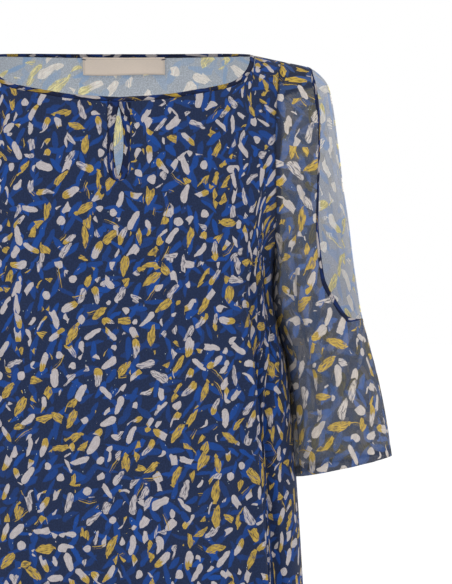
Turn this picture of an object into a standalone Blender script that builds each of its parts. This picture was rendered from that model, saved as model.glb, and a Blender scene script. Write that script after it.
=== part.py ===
"""A printed chiffon blouse with a boat neck, a keyhole and slit sleeves, filled out as worn.

Metres, +Z up. The front faces -Y and the wearer's left is +X. The origin is midway between the
two shoulder tips, where the shoulders carry the blouse. Every piece of cloth is a thin wall.
"""

import math
from collections import namedtuple

import bpy
import numpy as np

WALL = 0.0012
SEAM_GAP = 0.0003
ROUNDNESS = 2.6  # exponent of the body's oval sections; 2 would be an ellipse

SHOULDER_TIP_X = 0.159
SHOULDER_TIP_Z = -0.0035
NECK_POINT_X = 0.1333
NECK_POINT_Z = 0.0020
SHOULDER_SLOPE = (NECK_POINT_Z - SHOULDER_TIP_Z) / (SHOULDER_TIP_X - NECK_POINT_X)
SHOULDER_ROLL = 0.100  # height over which the cloth turns from the shoulder to the chest
UNDERARM_X = 0.152
UNDERARM_Z = -0.205
HEM_Z = -0.630

NECK_BINDING_WIDTH = 0.0050
NECK_BINDING_THICKNESS = 0.0020
NECK_BINDING_PROUD = 0.0004
NECK_BINDING_GAP = 0.0005
KEYHOLE_HALF_WIDTH = 0.0048
KEYHOLE_LOWNESS = 1.15  # above 1, the keyhole is widest below its middle
KEYHOLE_BLUNTNESS = 0.75  # below 1, its ends are rounder
KEYHOLE_BAND_REACH = 0.0110
KEYHOLE_BAND_TAIL = 0.0045  # how far the band runs on below the keyhole
KEYHOLE_BAND_TAIL_START = 0.8
SLIT_BINDING_WIDTH = 0.0048
SLIT_BINDING_OVERRUN = 0.13  # stations by which it passes each end of the slit
SLIT_BINDING_MOST_WIDENING = 3
TRIM_THICKNESS = 0.0010
LABEL_WIDTH = 0.084
LABEL_TOP_Z = 0.0050
LABEL_BOTTOM_Z = -0.0115
LABEL_COLUMNS = 9
LABEL_ROWS = 4

HALF_COLUMNS = 20
NECK_COLUMN = 16
COLUMN_CROWDING = 0.28
UPPER_ROWS = 13
LOWER_ROWS = 16
ROW_SPREAD = 1.5  # above 1, rows lie closer under the arm than at the hem
FLAT_SIDE = 0.93  # share of the half width past which the body's folds fade out
KEYHOLE_TOP_ROW = 1
KEYHOLE_END_ROW = 6
KEYHOLE_BAND_ROWS = 12
SLEEVE_NEAR_COLUMNS = 5
SLEEVE_FAR_COLUMNS = 7
SLEEVE_STEADY_ANGLE = 95  # columns beyond this angle don't shift for the slit
SLEEVE_REGULAR_ROWS = 17
SLEEVE_LEAST_ROW_GAP = 0.2  # in stations, between an even row and a turn of the slit
CAP_STATIONS = 3.0  # over these stations the armhole's outline turns into the sleeve's oval
CUFF_FOLD_FADE = 0.6  # share of its run over which a fold that reaches the cuff fades in

BodySection = namedtuple("BodySection", "height half_width front_depth back_depth")
BODY_SECTIONS = (
    BodySection(0.030, 0.186, 0.088, 0.086),
    BodySection(-0.045, 0.183, 0.093, 0.091),
    BodySection(-0.105, 0.176, 0.105, 0.098),
    BodySection(-0.150, 0.167, 0.112, 0.101),
    BodySection(-0.185, 0.157, 0.116, 0.101),
    BodySection(UNDERARM_Z, UNDERARM_X, 0.117, 0.100),
    BodySection(-0.235, 0.151, 0.117, 0.098),
    BodySection(-0.275, 0.157, 0.116, 0.096),
    BodySection(-0.310, 0.165, 0.115, 0.095),
    BodySection(-0.374, 0.171, 0.114, 0.096),
    BodySection(-0.526, 0.181, 0.116, 0.101),
    BodySection(HEM_Z, 0.186, 0.119, 0.106),
)

ArmholePoint = namedtuple("ArmholePoint", "height across")
ARMHOLE = (
    ArmholePoint(SHOULDER_TIP_Z, SHOULDER_TIP_X),
    ArmholePoint(-0.030, 0.1555),
    ArmholePoint(-0.090, 0.1525),
    ArmholePoint(-0.165, 0.1530),
    ArmholePoint(UNDERARM_Z, UNDERARM_X),
)

NeckPoint = namedtuple("NeckPoint", "across front_height back_height")
NECKLINE = (
    NeckPoint(0.0000, -0.0493, 0.0045),
    NeckPoint(0.0455, -0.0461, 0.0043),
    NeckPoint(0.0805, -0.0400, 0.0040),
    NeckPoint(0.1015, -0.0355, 0.0036),
    NeckPoint(0.1115, -0.0322, 0.0033),
    NeckPoint(0.1205, -0.0265, 0.0030),
    NeckPoint(0.1278, -0.0178, 0.0026),
    NeckPoint(0.1320, -0.0080, 0.0022),
    NeckPoint(NECK_POINT_X, NECK_POINT_Z, NECK_POINT_Z),
)

# A fold's place is a share of the half width; it fades in from start to full height.
BodyFold = namedtuple("BodyFold", "side at_top at_hem start_height full_height depth width")
FRONT_FOLDS = (
    BodyFold(0, 0.86, 0.88, -0.190, -0.320, 0.0100, 0.045),
    BodyFold(0, 0.77, 0.79, -0.200, -0.330, -0.0035, 0.045),
    BodyFold(0, 0.69, 0.72, -0.200, -0.330, 0.0042, 0.045),
    BodyFold(1, 0.42, 0.50, -0.240, -0.480, 0.0045, 0.080),
    BodyFold(-1, 0.36, 0.45, -0.260, -0.520, 0.0040, 0.090),
    BodyFold(1, 0.18, 0.22, -0.300, -0.560, -0.0040, 0.100),
    BodyFold(-1, 0.10, 0.12, -0.320, -0.560, -0.0030, 0.090),
)
BACK_FOLDS = (
    BodyFold(0, 0.85, 0.86, -0.190, -0.330, 0.0085, 0.050),
    BodyFold(0, 0.74, 0.76, -0.200, -0.330, -0.0035, 0.050),
    BodyFold(1, 0.56, 0.60, -0.210, -0.420, 0.0050, 0.070),
    BodyFold(-1, 0.50, 0.55, -0.230, -0.440, 0.0055, 0.070),
    BodyFold(0, 0.22, 0.26, -0.180, -0.460, 0.0050, 0.090),
    BodyFold(0, 0.02, 0.02, -0.200, -0.500, -0.0040, 0.090),
)

# Each section runs from the overarm (outer) to the underarm (inner), seen from the front.
SleeveSection = namedtuple("SleeveSection", "outer_x outer_z inner_x inner_z half_depth")
SLEEVE_SECTIONS = (
    SleeveSection(SHOULDER_TIP_X, SHOULDER_TIP_Z, UNDERARM_X, UNDERARM_Z, 0.0660),
    SleeveSection(0.1905, -0.0110, 0.1530, -0.2105, 0.0675),
    SleeveSection(0.2075, -0.0300, 0.1532, -0.2165, 0.0680),
    SleeveSection(0.2122, -0.0580, 0.1530, -0.2230, 0.0680),
    SleeveSection(0.2165, -0.0885, 0.1528, -0.2310, 0.0675),
    SleeveSection(0.2215, -0.1270, 0.1529, -0.2410, 0.0665),
    SleeveSection(0.2275, -0.1680, 0.1544, -0.2540, 0.0655),
    SleeveSection(0.2335, -0.2175, 0.1584, -0.2750, 0.0640),
    SleeveSection(0.2400, -0.2580, 0.1648, -0.3020, 0.0625),
    SleeveSection(0.2475, -0.2860, 0.1682, -0.3300, 0.0615),
    SleeveSection(0.2580, -0.3275, 0.1714, -0.3625, 0.0605),
    SleeveSection(0.2655, -0.3650, 0.1732, -0.3930, 0.0600),
    SleeveSection(0.2701, -0.3968, 0.1747, -0.4180, 0.0600),
)

# The slit's two edges: degrees from the overarm, towards the front and towards the back.
SlitPoint = namedtuple("SlitPoint", "station front_angle back_angle")
SLIT = (
    SlitPoint(0.90, 0, 0),
    SlitPoint(1.08, 20, 1),
    SlitPoint(1.30, 29, 2),
    SlitPoint(1.75, 45, 3),
    SlitPoint(2.40, 57, 4),
    SlitPoint(3.50, 65, 5),
    SlitPoint(5.40, 76, 5),
    SlitPoint(6.50, 77, 5),
    SlitPoint(7.10, 67, 5),
    SlitPoint(7.65, 55, 4),
    SlitPoint(7.92, 40, 3),
    SlitPoint(8.04, 20, 1),
    SlitPoint(8.10, 0, 0),
)

# A sleeve fold's angle is measured like the slit's; it is deepest midway between its two ends.
SleeveFold = namedtuple("SleeveFold", "angle_top angle_end start_station end_station depth width")
SLEEVE_FRONT_FOLDS = (
    SleeveFold(108, 128, 1.0, 9.0, 0.0040, 9),
    SleeveFold(88, 100, 2.0, 12.0, 0.0030, 8),
    SleeveFold(138, 112, 4.0, 12.0, 0.0045, 10),
)
SLEEVE_BACK_FOLDS = (
    SleeveFold(50, 62, 1.5, 8.0, 0.0018, 12),
    SleeveFold(96, 110, 1.0, 10.0, 0.0020, 12),
    SleeveFold(140, 118, 3.0, 12.0, 0.0022, 12),
)

Finish = namedtuple("Finish", "name colour roughness")
PRINT = Finish("printed_chiffon", (0.025, 0.045, 0.16), 0.75)
SHEER = Finish("sheer_chiffon", (0.09, 0.11, 0.20), 0.75)
TRIM = Finish("self_trim", (0.012, 0.020, 0.075), 0.70)
LABEL = Finish("label_tape", (0.75, 0.62, 0.50), 0.80)


def column(rows, name):
    return np.array([getattr(row, name) for row in rows])


def smooth_through(places, values, at):
    """A cubic through the values that never swells past them between two places."""
    order = np.argsort(places)
    places, values = np.asarray(places, float)[order], np.asarray(values, float)[order]
    steps = np.diff(places)
    slopes = np.diff(values) / steps
    tangents = np.zeros(len(places))
    tangents[0], tangents[-1] = slopes[0], slopes[-1]
    before, after = slopes[:-1], slopes[1:]
    same_way = before * after > 0
    tangents[1:-1][same_way] = (2 * before * after)[same_way] / (before + after)[same_way]
    i = np.clip(np.searchsorted(places, at, side="right") - 1, 0, len(places) - 2)
    t = np.clip((at - places[i]) / steps[i], 0, 1)
    rise = (3 - 2 * t) * t * t
    bend = steps[i] * t * (1 - t) * (tangents[i] * (1 - t) - tangents[i + 1] * t)
    return values[i] * (1 - rise) + values[i + 1] * rise + bend


def fade(value, start, full):
    t = np.clip((value - start) / (full - start), 0, 1)
    return t * t * (3 - 2 * t)


def half_width(z):
    return smooth_through(column(BODY_SECTIONS, "height"), column(BODY_SECTIONS, "half_width"), z)


def shoulder_height(x):
    """The height at which the front and back meet: the shoulder seams, bridged over the neck."""
    across = np.abs(x) / NECK_POINT_X
    bridge = SHOULDER_SLOPE * NECK_POINT_X / 2 * (1 - across**2) * (2 - across**2)
    slope = SHOULDER_SLOPE * NECK_POINT_X * (1 - across)
    return NECK_POINT_Z + np.where(across < 1, bridge, slope)


def body_depth(x, z, face):
    """How far the body's cloth stands off the shoulder line, forward or back."""
    depths = column(BODY_SECTIONS, face + "_depth")
    depth = smooth_through(column(BODY_SECTIONS, "height"), depths, z)
    across = np.clip(np.abs(x) / half_width(z), 0, 1)
    turn = np.clip((shoulder_height(x) - z) / SHOULDER_ROLL, 0, 1)
    oval = (1 - across**ROUNDNESS) ** (1 / ROUNDNESS)
    return depth * oval * np.sqrt(1 - (1 - turn) ** 2)


def body_point(x, z, face):
    """A point of the front or back; half a seam's gap keeps the two apart at their edges."""
    depth = np.maximum(body_depth(x, z, face), SEAM_GAP / 2)
    return np.stack([x, -depth if face == "front" else depth, z], axis=-1)


def armhole_across(z):
    return smooth_through(column(ARMHOLE, "height"), column(ARMHOLE, "across"), z)


def top_height(x, face):
    """The panel's upper edge: the neckline, then the shoulder seam."""
    neckline = smooth_through(
        column(NECKLINE, "across"), column(NECKLINE, face + "_height"), np.minimum(x, NECK_POINT_X)
    )
    return np.where(x < NECK_POINT_X, neckline, shoulder_height(x))


def spread_along(points, shares, anchor=None):
    """Points at the given shares of a line's length; anchor ties one share to one place on it."""
    lengths = np.concatenate([[0], np.cumsum(np.linalg.norm(np.diff(points, axis=0), axis=1))])
    wanted = shares * lengths[-1]
    if anchor:
        share, place = anchor
        wanted = np.interp(shares, [0, share, 1], [0, lengths[place], lengths[-1]])
    return np.stack([np.interp(wanted, lengths, points[:, axis]) for axis in range(3)], axis=1)


def half_panel(face, folds, side):
    """Half of the front or back: rows from the neck to the hem, columns from the centre out."""
    t = np.arange(HALF_COLUMNS + 1) / HALF_COLUMNS
    shares = (1 + COLUMN_CROWDING) * t - COLUMN_CROWDING * t * t
    fine = np.sin(np.linspace(0, math.pi / 2, 361)) ** (2 / ROUNDNESS)
    neck_share = NECK_POINT_X / SHOULDER_TIP_X
    neck_place = int(np.searchsorted(fine, neck_share))
    fine = np.insert(fine, neck_place, neck_share)
    rows = []
    for row in range(UPPER_ROWS + 1):
        drop = (1 - math.cos(math.pi * row / UPPER_ROWS)) / 2
        edge = SHOULDER_TIP_Z + (UNDERARM_Z - SHOULDER_TIP_Z) * drop
        top = top_height(fine * SHOULDER_TIP_X, face)
        line = body_point(fine * armhole_across(edge), top + (UNDERARM_Z - top) * drop, face)
        anchor = (shares[NECK_COLUMN], neck_place) if row == 0 else None
        rows.append(spread_along(line, shares, anchor))
    for row in range(1, LOWER_ROWS + 1):
        z = UNDERARM_Z + (HEM_Z - UNDERARM_Z) * (row / LOWER_ROWS) ** ROW_SPREAD
        line = body_point(fine * half_width(z), np.full(len(fine), z), face)
        rows.append(spread_along(line, shares))
    points = np.array(rows)
    outward = grid_normals(points)
    outward *= np.sign(outward[..., 1:2]) * (-1 if face == "front" else 1)
    points -= outward * body_fold_depth(points, folds, side)[..., None]
    return points * (side, 1, 1)


def body_fold_depth(points, folds, side):
    """How deep the folds press the cloth in, fading to nothing at the side seam."""
    x, z = points[..., 0], points[..., 2]
    across = x / half_width(z)
    down = (UNDERARM_Z - z) / (UNDERARM_Z - HEM_Z)
    depth = np.zeros(x.shape)
    for fold in folds:
        if fold.side in (0, side):
            place = fold.at_top + (fold.at_hem - fold.at_top) * np.clip(down, 0, 1)
            shape = np.exp(-(((across - place) / fold.width) ** 2))
            depth += fold.depth * shape * fade(-z, -fold.start_height, -fold.full_height)
    return depth * (1 - fade(across, FLAT_SIDE, 1.0))


def grid_normals(points):
    """Unit normals of a grid of points; which way they face is the caller's to settle."""
    return unit(np.cross(np.gradient(points, axis=0), np.gradient(points, axis=1)))


def grid_faces(index):
    """Quads over a grid of vertex numbers."""
    corners = (index[:-1, :-1], index[1:, :-1], index[1:, 1:], index[:-1, 1:])
    return np.stack([corner.ravel() for corner in corners], axis=1)


def turned(faces):
    """The same quads facing the other way, each still split along the same diagonal."""
    return faces[:, [0, 3, 2, 1]]


def face_sums(points, faces):
    """At each point, the sum of the directions that its faces face."""
    first, second, third, fourth = (points[faces[:, corner]] for corner in range(4))
    facing = np.cross(third - first, fourth - second)
    sums = np.zeros(points.shape)
    for corner in range(4):
        np.add.at(sums, faces[:, corner], facing)
    return sums


def surface_normals(points, faces, outward, free):
    """Unit normals on the side that outward faces.

    free zeroes the axes along which a point's two sides stay level, so that an edge stays
    parallel to its neighbour across the seam.
    """
    normals = face_sums(points, faces)
    if np.sum(normals * outward) < 0:
        normals = -normals
    return unit(normals * free)


def unit(vectors):
    return vectors / np.maximum(np.linalg.norm(vectors, axis=-1, keepdims=True), 1e-12)


def wall(name, points, faces, normals, finish, raised=0.0, thickness=WALL):
    """A closed wall on a surface of quads: the surface raised, its copy inside, and a rim."""
    if np.sum(face_sums(points, faces) * normals) < 0:
        faces = turned(faces)
    outer = points + normals * raised
    inner = outer - normals * thickness
    count = len(points)
    starts, ends = faces.ravel().tolist(), np.roll(faces, -1, axis=1).ravel().tolist()
    met = set(zip(ends, starts))
    free_edges = [edge for edge in zip(starts, ends) if edge not in met]
    rim = [(b, a, a + count, b + count) for a, b in free_edges]
    mesh = bpy.data.meshes.new(name)
    shell = faces.tolist() + (turned(faces) + count).tolist() + rim
    mesh.from_pydata(np.concatenate([outer, inner]).tolist(), [], shell)
    mesh.materials.append(material(finish))
    thing = bpy.data.objects.new(name, mesh)
    bpy.context.scene.collection.objects.link(thing)
    return thing


def material(finish):
    found = bpy.data.materials.get(finish.name)
    if found:
        return found
    made = bpy.data.materials.new(finish.name)
    made.use_nodes = True
    shader = made.node_tree.nodes["Principled BSDF"]
    shader.inputs["Base Color"].default_value = (*finish.colour, 1)
    shader.inputs["Roughness"].default_value = finish.roughness
    shader.inputs["Metallic"].default_value = 0
    return made


def keyhole_half_width(share):
    """Half the keyhole's width, from its top (0) to its end (1)."""
    swell = np.sin(math.pi * np.clip(share, 0, 1) ** KEYHOLE_LOWNESS)
    return KEYHOLE_HALF_WIDTH * np.maximum(swell, 0) ** KEYHOLE_BLUNTNESS


def keyhole_share(z, centre):
    top, end = centre[KEYHOLE_TOP_ROW, 2], centre[KEYHOLE_END_ROW, 2]
    return (top - z) / (top - end)


def make_panel(face, folds):
    """The front or the back, its two halves sharing the centre column except at the keyhole."""
    halves = [half_panel(face, folds, side) for side in (1, -1)]
    centre = (halves[0][:, 0] + halves[1][:, 0]) / 2
    rows, columns = halves[0].shape[:2]
    points, indices, frees, count = [], [], [], 0
    for half, side in zip(halves, (1, -1)):
        half[:, 0] = centre
        free = np.ones(half.shape)
        free[0, NECK_COLUMN:, 1] = 0
        free[UPPER_ROWS:, -1, 1] = 0
        if face == "front":
            opened = slice(KEYHOLE_TOP_ROW + 1, KEYHOLE_END_ROW)
            half[opened, 0, 0] = side * keyhole_half_width(keyhole_share(half[opened, 0, 2], centre))
        index = count + np.arange(rows * columns).reshape(rows, columns)
        count += rows * columns
        points.append(half.reshape(-1, 3))
        frees.append(free.reshape(-1, 3))
        indices.append(index)
    shared = np.ones(rows, bool)
    if face == "front":
        shared[KEYHOLE_TOP_ROW + 1 : KEYHOLE_END_ROW] = False
    indices[1][shared, 0] = indices[0][shared, 0]
    faces = np.concatenate([grid_faces(indices[0]), turned(grid_faces(indices[1]))])
    points, frees = np.concatenate(points), np.concatenate(frees)
    outward = (0, -1, 0) if face == "front" else (0, 1, 0)
    normals = surface_normals(points, faces, outward, frees)
    used, inverse = np.unique(faces, return_inverse=True)
    wall(face, points[used], inverse.reshape(faces.shape), normals[used], PRINT)
    return halves, [normals[index] for index in indices]


def make_neck_binding(front, back):
    """One band all round the neck, standing on the panels' upper edges."""
    reach = slice(0, NECK_COLUMN + 1)
    front_left, front_right = (half[0, reach] for half in front[0])
    back_left, back_right = (half[0, reach] for half in back[0])
    line = once_round(front_right, front_left, back_left, back_right)
    front_left, front_right = (normals[0, reach] for normals in front[1])
    back_left, back_right = (normals[0, reach] for normals in back[1])
    normal = once_round(front_right, front_left, back_left, back_right)
    line[[0, 2 * NECK_COLUMN], 1] = 0
    inward = unit(np.cross(normal, np.roll(line, -1, axis=0) - np.roll(line, 1, axis=0)))
    inward *= -np.sign(np.sum(inward * (line - line.mean(axis=0)), axis=1, keepdims=True))
    inward = unit(2 * inward + np.roll(inward, 1, axis=0) + np.roll(inward, -1, axis=0))
    steps = NECK_BINDING_GAP + np.array([0, 0.5, 1]) * NECK_BINDING_WIDTH
    grid = np.stack([line + inward * step for step in steps])
    index = np.arange(grid[..., 0].size).reshape(grid.shape[:2])
    faces = grid_faces(np.concatenate([index, index[:, :1]], axis=1))
    wall("neck_binding", grid.reshape(-1, 3), faces, np.tile(normal, (len(steps), 1)), TRIM,
         raised=NECK_BINDING_PROUD, thickness=NECK_BINDING_THICKNESS)


def once_round(front_right, front_left, back_left, back_right):
    """Rows that start at the centre, joined from the right neck point by the front and back."""
    order = (front_right[::-1], front_left[1:-1], back_left[::-1], back_right[1:-1])
    return np.concatenate(order)


def make_keyhole_band(front):
    """A flat band sewn round the keyhole, with straight outer edges that meet in a rounded tail."""
    centre = front[0][:, 0]
    top, end = centre[0, 2], centre[KEYHOLE_END_ROW, 2]
    drops = np.linspace(0, 1, KEYHOLE_BAND_ROWS)[:-1]
    heights = top + (end - top) * drops
    inner = np.maximum(keyhole_half_width(keyhole_share(heights, centre)), SEAM_GAP / 2)
    tail = np.clip((drops - KEYHOLE_BAND_TAIL_START) / (1 - KEYHOLE_BAND_TAIL_START), 0, 1)
    outer = KEYHOLE_BAND_REACH * np.sqrt(1 - 0.75 * tail**2)
    lowered = heights - KEYHOLE_BAND_TAIL * tail
    right = np.stack([inner, heights, outer, lowered], axis=1).reshape(-1, 2, 2)
    foot = np.array([[(0.0, end - 2 * SEAM_GAP), (0.0, end - KEYHOLE_BAND_TAIL * 1.35)]])
    ring = np.concatenate([right, foot, (right * (-1, 1))[::-1]])
    across = np.array([0, 0.5, 1])[None, :, None]
    grid = ring[:, :1] + (ring[:, 1:] - ring[:, :1]) * across
    points = body_point(grid[..., 0], grid[..., 1], "front").reshape(-1, 3)
    faces = grid_faces(np.arange(len(points)).reshape(-1, 3))
    normals = surface_normals(points, faces, (0, -1, 0), 1)
    wall("keyhole_band", points, faces, normals, TRIM,
         raised=SEAM_GAP + TRIM_THICKNESS, thickness=TRIM_THICKNESS)


def make_label():
    """A blank tape inside the back of the neck, hanging close to the cloth."""
    across = np.linspace(-0.5, 0.5, LABEL_COLUMNS) * LABEL_WIDTH
    x, z = np.meshgrid(across, np.linspace(LABEL_TOP_Z, LABEL_BOTTOM_Z, LABEL_ROWS))
    points = body_point(x, z, "back").reshape(-1, 3)
    faces = grid_faces(np.arange(x.size).reshape(x.shape))
    inset = NECK_BINDING_THICKNESS - NECK_BINDING_PROUD + SEAM_GAP
    normals = surface_normals(points, faces, (0, 1, 0), 1)
    wall("label", points, faces, normals, LABEL, raised=-inset, thickness=TRIM_THICKNESS)


def armhole_loop(angle):
    """The armhole's outline at an angle from the shoulder, positive towards the front."""
    middle, half = (SHOULDER_TIP_Z + UNDERARM_Z) / 2, (SHOULDER_TIP_Z - UNDERARM_Z) / 2
    z = middle + half * np.cos(angle)
    x = armhole_across(z)
    depth = np.where(angle > 0, body_depth(x, z, "front"), body_depth(x, z, "back"))
    return np.stack([x + SEAM_GAP, -np.sign(angle) * depth, z], axis=-1)


def sleeve_point(station, angle):
    """A point of the left sleeve: station counts the sections down it, angle is in radians."""
    start = sleeve_oval(np.zeros(np.shape(station)), angle)
    share = fade(station, 0, CAP_STATIONS)[..., None]
    return sleeve_oval(station, angle) + (armhole_loop(angle) - start) * (1 - share)


def sleeve_oval(station, angle):
    stations = np.arange(len(SLEEVE_SECTIONS))
    section = {
        name: smooth_through(stations, column(SLEEVE_SECTIONS, name), station)
        for name in SleeveSection._fields
    }
    middle_x = (section["outer_x"] + section["inner_x"]) / 2
    middle_z = (section["outer_z"] + section["inner_z"]) / 2
    reach_x = (section["outer_x"] - section["inner_x"]) / 2
    reach_z = (section["outer_z"] - section["inner_z"]) / 2
    x = middle_x + reach_x * np.cos(angle)
    z = middle_z + reach_z * np.cos(angle)
    y = -section["half_depth"] * np.sin(angle)
    return np.stack([x, y, z], axis=-1)


def slit_angle(station, edge):
    angle = smooth_through(column(SLIT, "station"), column(SLIT, edge + "_angle"), station)
    inside = (station > SLIT[0].station) & (station < SLIT[-1].station)
    return np.radians(np.where(inside, angle, 0))


def sleeve_fold_depth(station, angle, folds):
    """How deep the folds press the sleeve in; one that reaches the cuff stays full there."""
    depth = np.zeros(np.broadcast(station, angle).shape)
    for fold in folds:
        start, end = fold.start_station, fold.end_station
        along = np.clip((station - start) / (end - start), 0, 1)
        place = fold.angle_top + (fold.angle_end - fold.angle_top) * along
        shape = np.exp(-(((np.degrees(angle) - place) / fold.width) ** 2))
        to_cuff = end == len(SLEEVE_SECTIONS) - 1
        swell = fade(along, 0, CUFF_FOLD_FADE) if to_cuff else np.sin(math.pi * along)
        depth += fold.depth * shape * swell
    return depth


def sleeve_stations():
    """The stations of a sleeve's rows: even ones, the turns of the slit, and its binding's ends."""
    regular = np.linspace(0, len(SLEEVE_SECTIONS) - 1, SLEEVE_REGULAR_ROWS)
    turns = column(SLIT, "station")
    ends = turns[[0, -1]] + np.array([-1, 1]) * SLIT_BINDING_OVERRUN
    turns = np.concatenate([turns, ends])
    clear = [place for place in regular if np.abs(turns - place).min() > SLEEVE_LEAST_ROW_GAP]
    return np.sort(np.concatenate([clear, turns]))


def binding_angle(station, edge, sign):
    """The angle that the slit's binding spans, wider where its edge runs round the sleeve."""
    line = sleeve_point(station, sign * np.full(len(station), edge.mean()))
    down = np.linalg.norm(np.gradient(line, station, axis=0), axis=1)
    nudge = 1e-3
    near = sleeve_point(station, sign * (edge + nudge))
    past = sleeve_point(station, sign * (edge + 2 * nudge))
    round_way = np.linalg.norm(past - near, axis=1) / nudge
    slant = np.gradient(edge, station) * round_way / down
    widening = np.minimum(np.sqrt(1 + slant**2), SLIT_BINDING_MOST_WIDENING)
    return SLIT_BINDING_WIDTH * widening / round_way


def make_sleeve_half(face, folds, side):
    """The front or back half of a sleeve, and the binding along its edge of the slit."""
    rows = sleeve_stations()
    sign = 1 if face == "front" else -1
    edge = slit_angle(rows, face)
    bound = edge + binding_angle(rows, edge, sign)
    near = np.linspace(0, 1, SLEEVE_NEAR_COLUMNS)[:-1]
    far = np.linspace(0, 1, SLEEVE_FAR_COLUMNS)
    steady = math.radians(SLEEVE_STEADY_ANGLE)
    near_size = bound[:, None] + (steady - bound[:, None]) * near
    far_size = np.broadcast_to(steady + (math.pi - steady) * far, (len(rows), len(far)))
    size = np.concatenate([edge[:, None], near_size, far_size], axis=1)
    station = np.broadcast_to(rows[:, None], size.shape)
    points = sleeve_point(station, sign * size)
    middle = (sleeve_point(station, 0 * size) + sleeve_point(station, 0 * size + math.pi)) / 2
    normal = grid_normals(points)
    facing = np.sign(np.sum(normal * (points - middle), axis=-1, keepdims=True))
    points -= normal * facing * sleeve_fold_depth(station, size, folds)[..., None]
    points[..., 1] = -sign * np.maximum(-sign * points[..., 1], SEAM_GAP / 2)
    free = np.ones(points.shape)
    free[0, :, 0] = 0
    free[:, -1, 1] = 0
    free[edge == 0, 0, 1] = 0
    points, middle = points * (side, 1, 1), middle * (side, 1, 1)
    index = np.arange(size.size).reshape(size.shape)
    flat_points, faces = points.reshape(-1, 3), grid_faces(index)
    outward = (points - middle).reshape(-1, 3)
    normals = surface_normals(flat_points, faces, outward, free.reshape(-1, 3))
    place = f"{face}_{'left' if side > 0 else 'right'}"
    wall(f"sleeve_{place}", flat_points, faces, normals, SHEER)
    slit = np.flatnonzero((rows >= SLIT[0].station) & (rows <= SLIT[-1].station))
    part = index[slit[0] - 1 : slit[-1] + 2, :2]
    faces = grid_faces(np.arange(part.size).reshape(part.shape))
    part = part.ravel()
    wall(f"slit_binding_{place}", flat_points[part], faces, normals[part], TRIM,
         raised=SEAM_GAP + TRIM_THICKNESS, thickness=TRIM_THICKNESS)


def main():
    for thing in list(bpy.data.objects):
        bpy.data.objects.remove(thing)
    front = make_panel("front", FRONT_FOLDS)
    back = make_panel("back", BACK_FOLDS)
    make_neck_binding(front, back)
    make_keyhole_band(front[0])
    make_label()
    for side in (1, -1):
        make_sleeve_half("front", SLEEVE_FRONT_FOLDS, side)
        make_sleeve_half("back", SLEEVE_BACK_FOLDS, side)


main()
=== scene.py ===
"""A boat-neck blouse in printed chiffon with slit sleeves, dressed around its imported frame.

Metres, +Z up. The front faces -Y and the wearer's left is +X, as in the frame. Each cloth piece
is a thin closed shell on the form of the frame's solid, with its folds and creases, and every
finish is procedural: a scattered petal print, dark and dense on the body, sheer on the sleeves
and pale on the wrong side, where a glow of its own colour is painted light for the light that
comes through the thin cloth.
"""

import enum
import logging
import math
from collections.abc import Mapping, Sequence
from dataclasses import dataclass, field

import bpy
import numpy as np
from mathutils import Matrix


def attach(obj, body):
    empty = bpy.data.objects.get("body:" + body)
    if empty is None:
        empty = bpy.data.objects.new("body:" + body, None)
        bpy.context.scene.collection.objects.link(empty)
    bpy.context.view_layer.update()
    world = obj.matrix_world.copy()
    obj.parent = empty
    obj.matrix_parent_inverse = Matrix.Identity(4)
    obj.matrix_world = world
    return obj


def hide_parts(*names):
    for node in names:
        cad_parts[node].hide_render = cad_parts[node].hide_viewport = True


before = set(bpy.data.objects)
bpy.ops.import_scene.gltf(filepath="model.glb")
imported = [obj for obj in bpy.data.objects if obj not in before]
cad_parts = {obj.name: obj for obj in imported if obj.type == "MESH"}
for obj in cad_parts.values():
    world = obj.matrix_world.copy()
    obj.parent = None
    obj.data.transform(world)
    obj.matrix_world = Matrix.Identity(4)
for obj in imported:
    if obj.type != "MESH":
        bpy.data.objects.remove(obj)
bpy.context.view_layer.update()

LOG = logging.getLogger("blouse")
Array = np.ndarray

CLOTH_MAP = "Cloth"
SEAM_GAP = 0.0001  # left between the front and the back where they meet
CHIFFON = 0.00045  # thickness of one layer
TINY = 1e-12  # the least length that anything is divided by


class Side(enum.Enum):
    """The wearer's left or right, with the sign of its X."""

    LEFT = 1
    RIGHT = -1

    @property
    def word(self) -> str:
        """The side as it stands in a piece's name."""
        return self.name.lower()


class Face(enum.Enum):
    """The front or back of the blouse, with the sign of its Y."""

    FRONT = -1
    BACK = 1

    @property
    def word(self) -> str:
        """The face as it stands in a piece's name."""
        return self.name.lower()


def column(rows: Sequence[object], name: str) -> Array:
    """One named column of a table, as numbers."""
    return np.array([getattr(row, name) for row in rows], float)


def unit(vectors: Array) -> Array:
    """The vectors at length one."""
    return vectors / np.maximum(np.linalg.norm(vectors, axis=-1, keepdims=True), TINY)


def fade(value: Array | float, start: float, full: float) -> Array:
    """A soft step.

    Args:
        value: what is tested.
        start: where the step leaves 0.
        full: where it reaches 1.

    Returns:
        The step at each value.
    """
    t = np.clip((np.asarray(value, float) - start) / (full - start), 0, 1)
    return t * t * (3 - 2 * t)


def smooth_through(places: Array, values: Array, at: Array | float) -> Array:
    """A cubic through given values that never swells past them.

    Args:
        places: where the values stand, in any order.
        values: the values.
        at: where the cubic is read.

    Returns:
        The cubic's values there.
    """
    order = np.argsort(places)
    places, values = places[order], values[order]
    steps = np.diff(places)
    slopes = np.diff(values) / steps
    tangents = np.zeros(len(places))
    tangents[0], tangents[-1] = slopes[0], slopes[-1]
    before, after = slopes[:-1], slopes[1:]
    same = before * after > 0
    tangents[1:-1][same] = (2 * before * after)[same] / (before + after)[same]
    i = np.clip(np.searchsorted(places, at, side="right") - 1, 0, len(places) - 2)
    t = np.clip((at - places[i]) / steps[i], 0, 1)
    rise = (3 - 2 * t) * t * t
    bend = steps[i] * t * (1 - t) * (tangents[i] * (1 - t) - tangents[i + 1] * t)
    return values[i] * (1 - rise) + values[i + 1] * rise + bend


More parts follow.
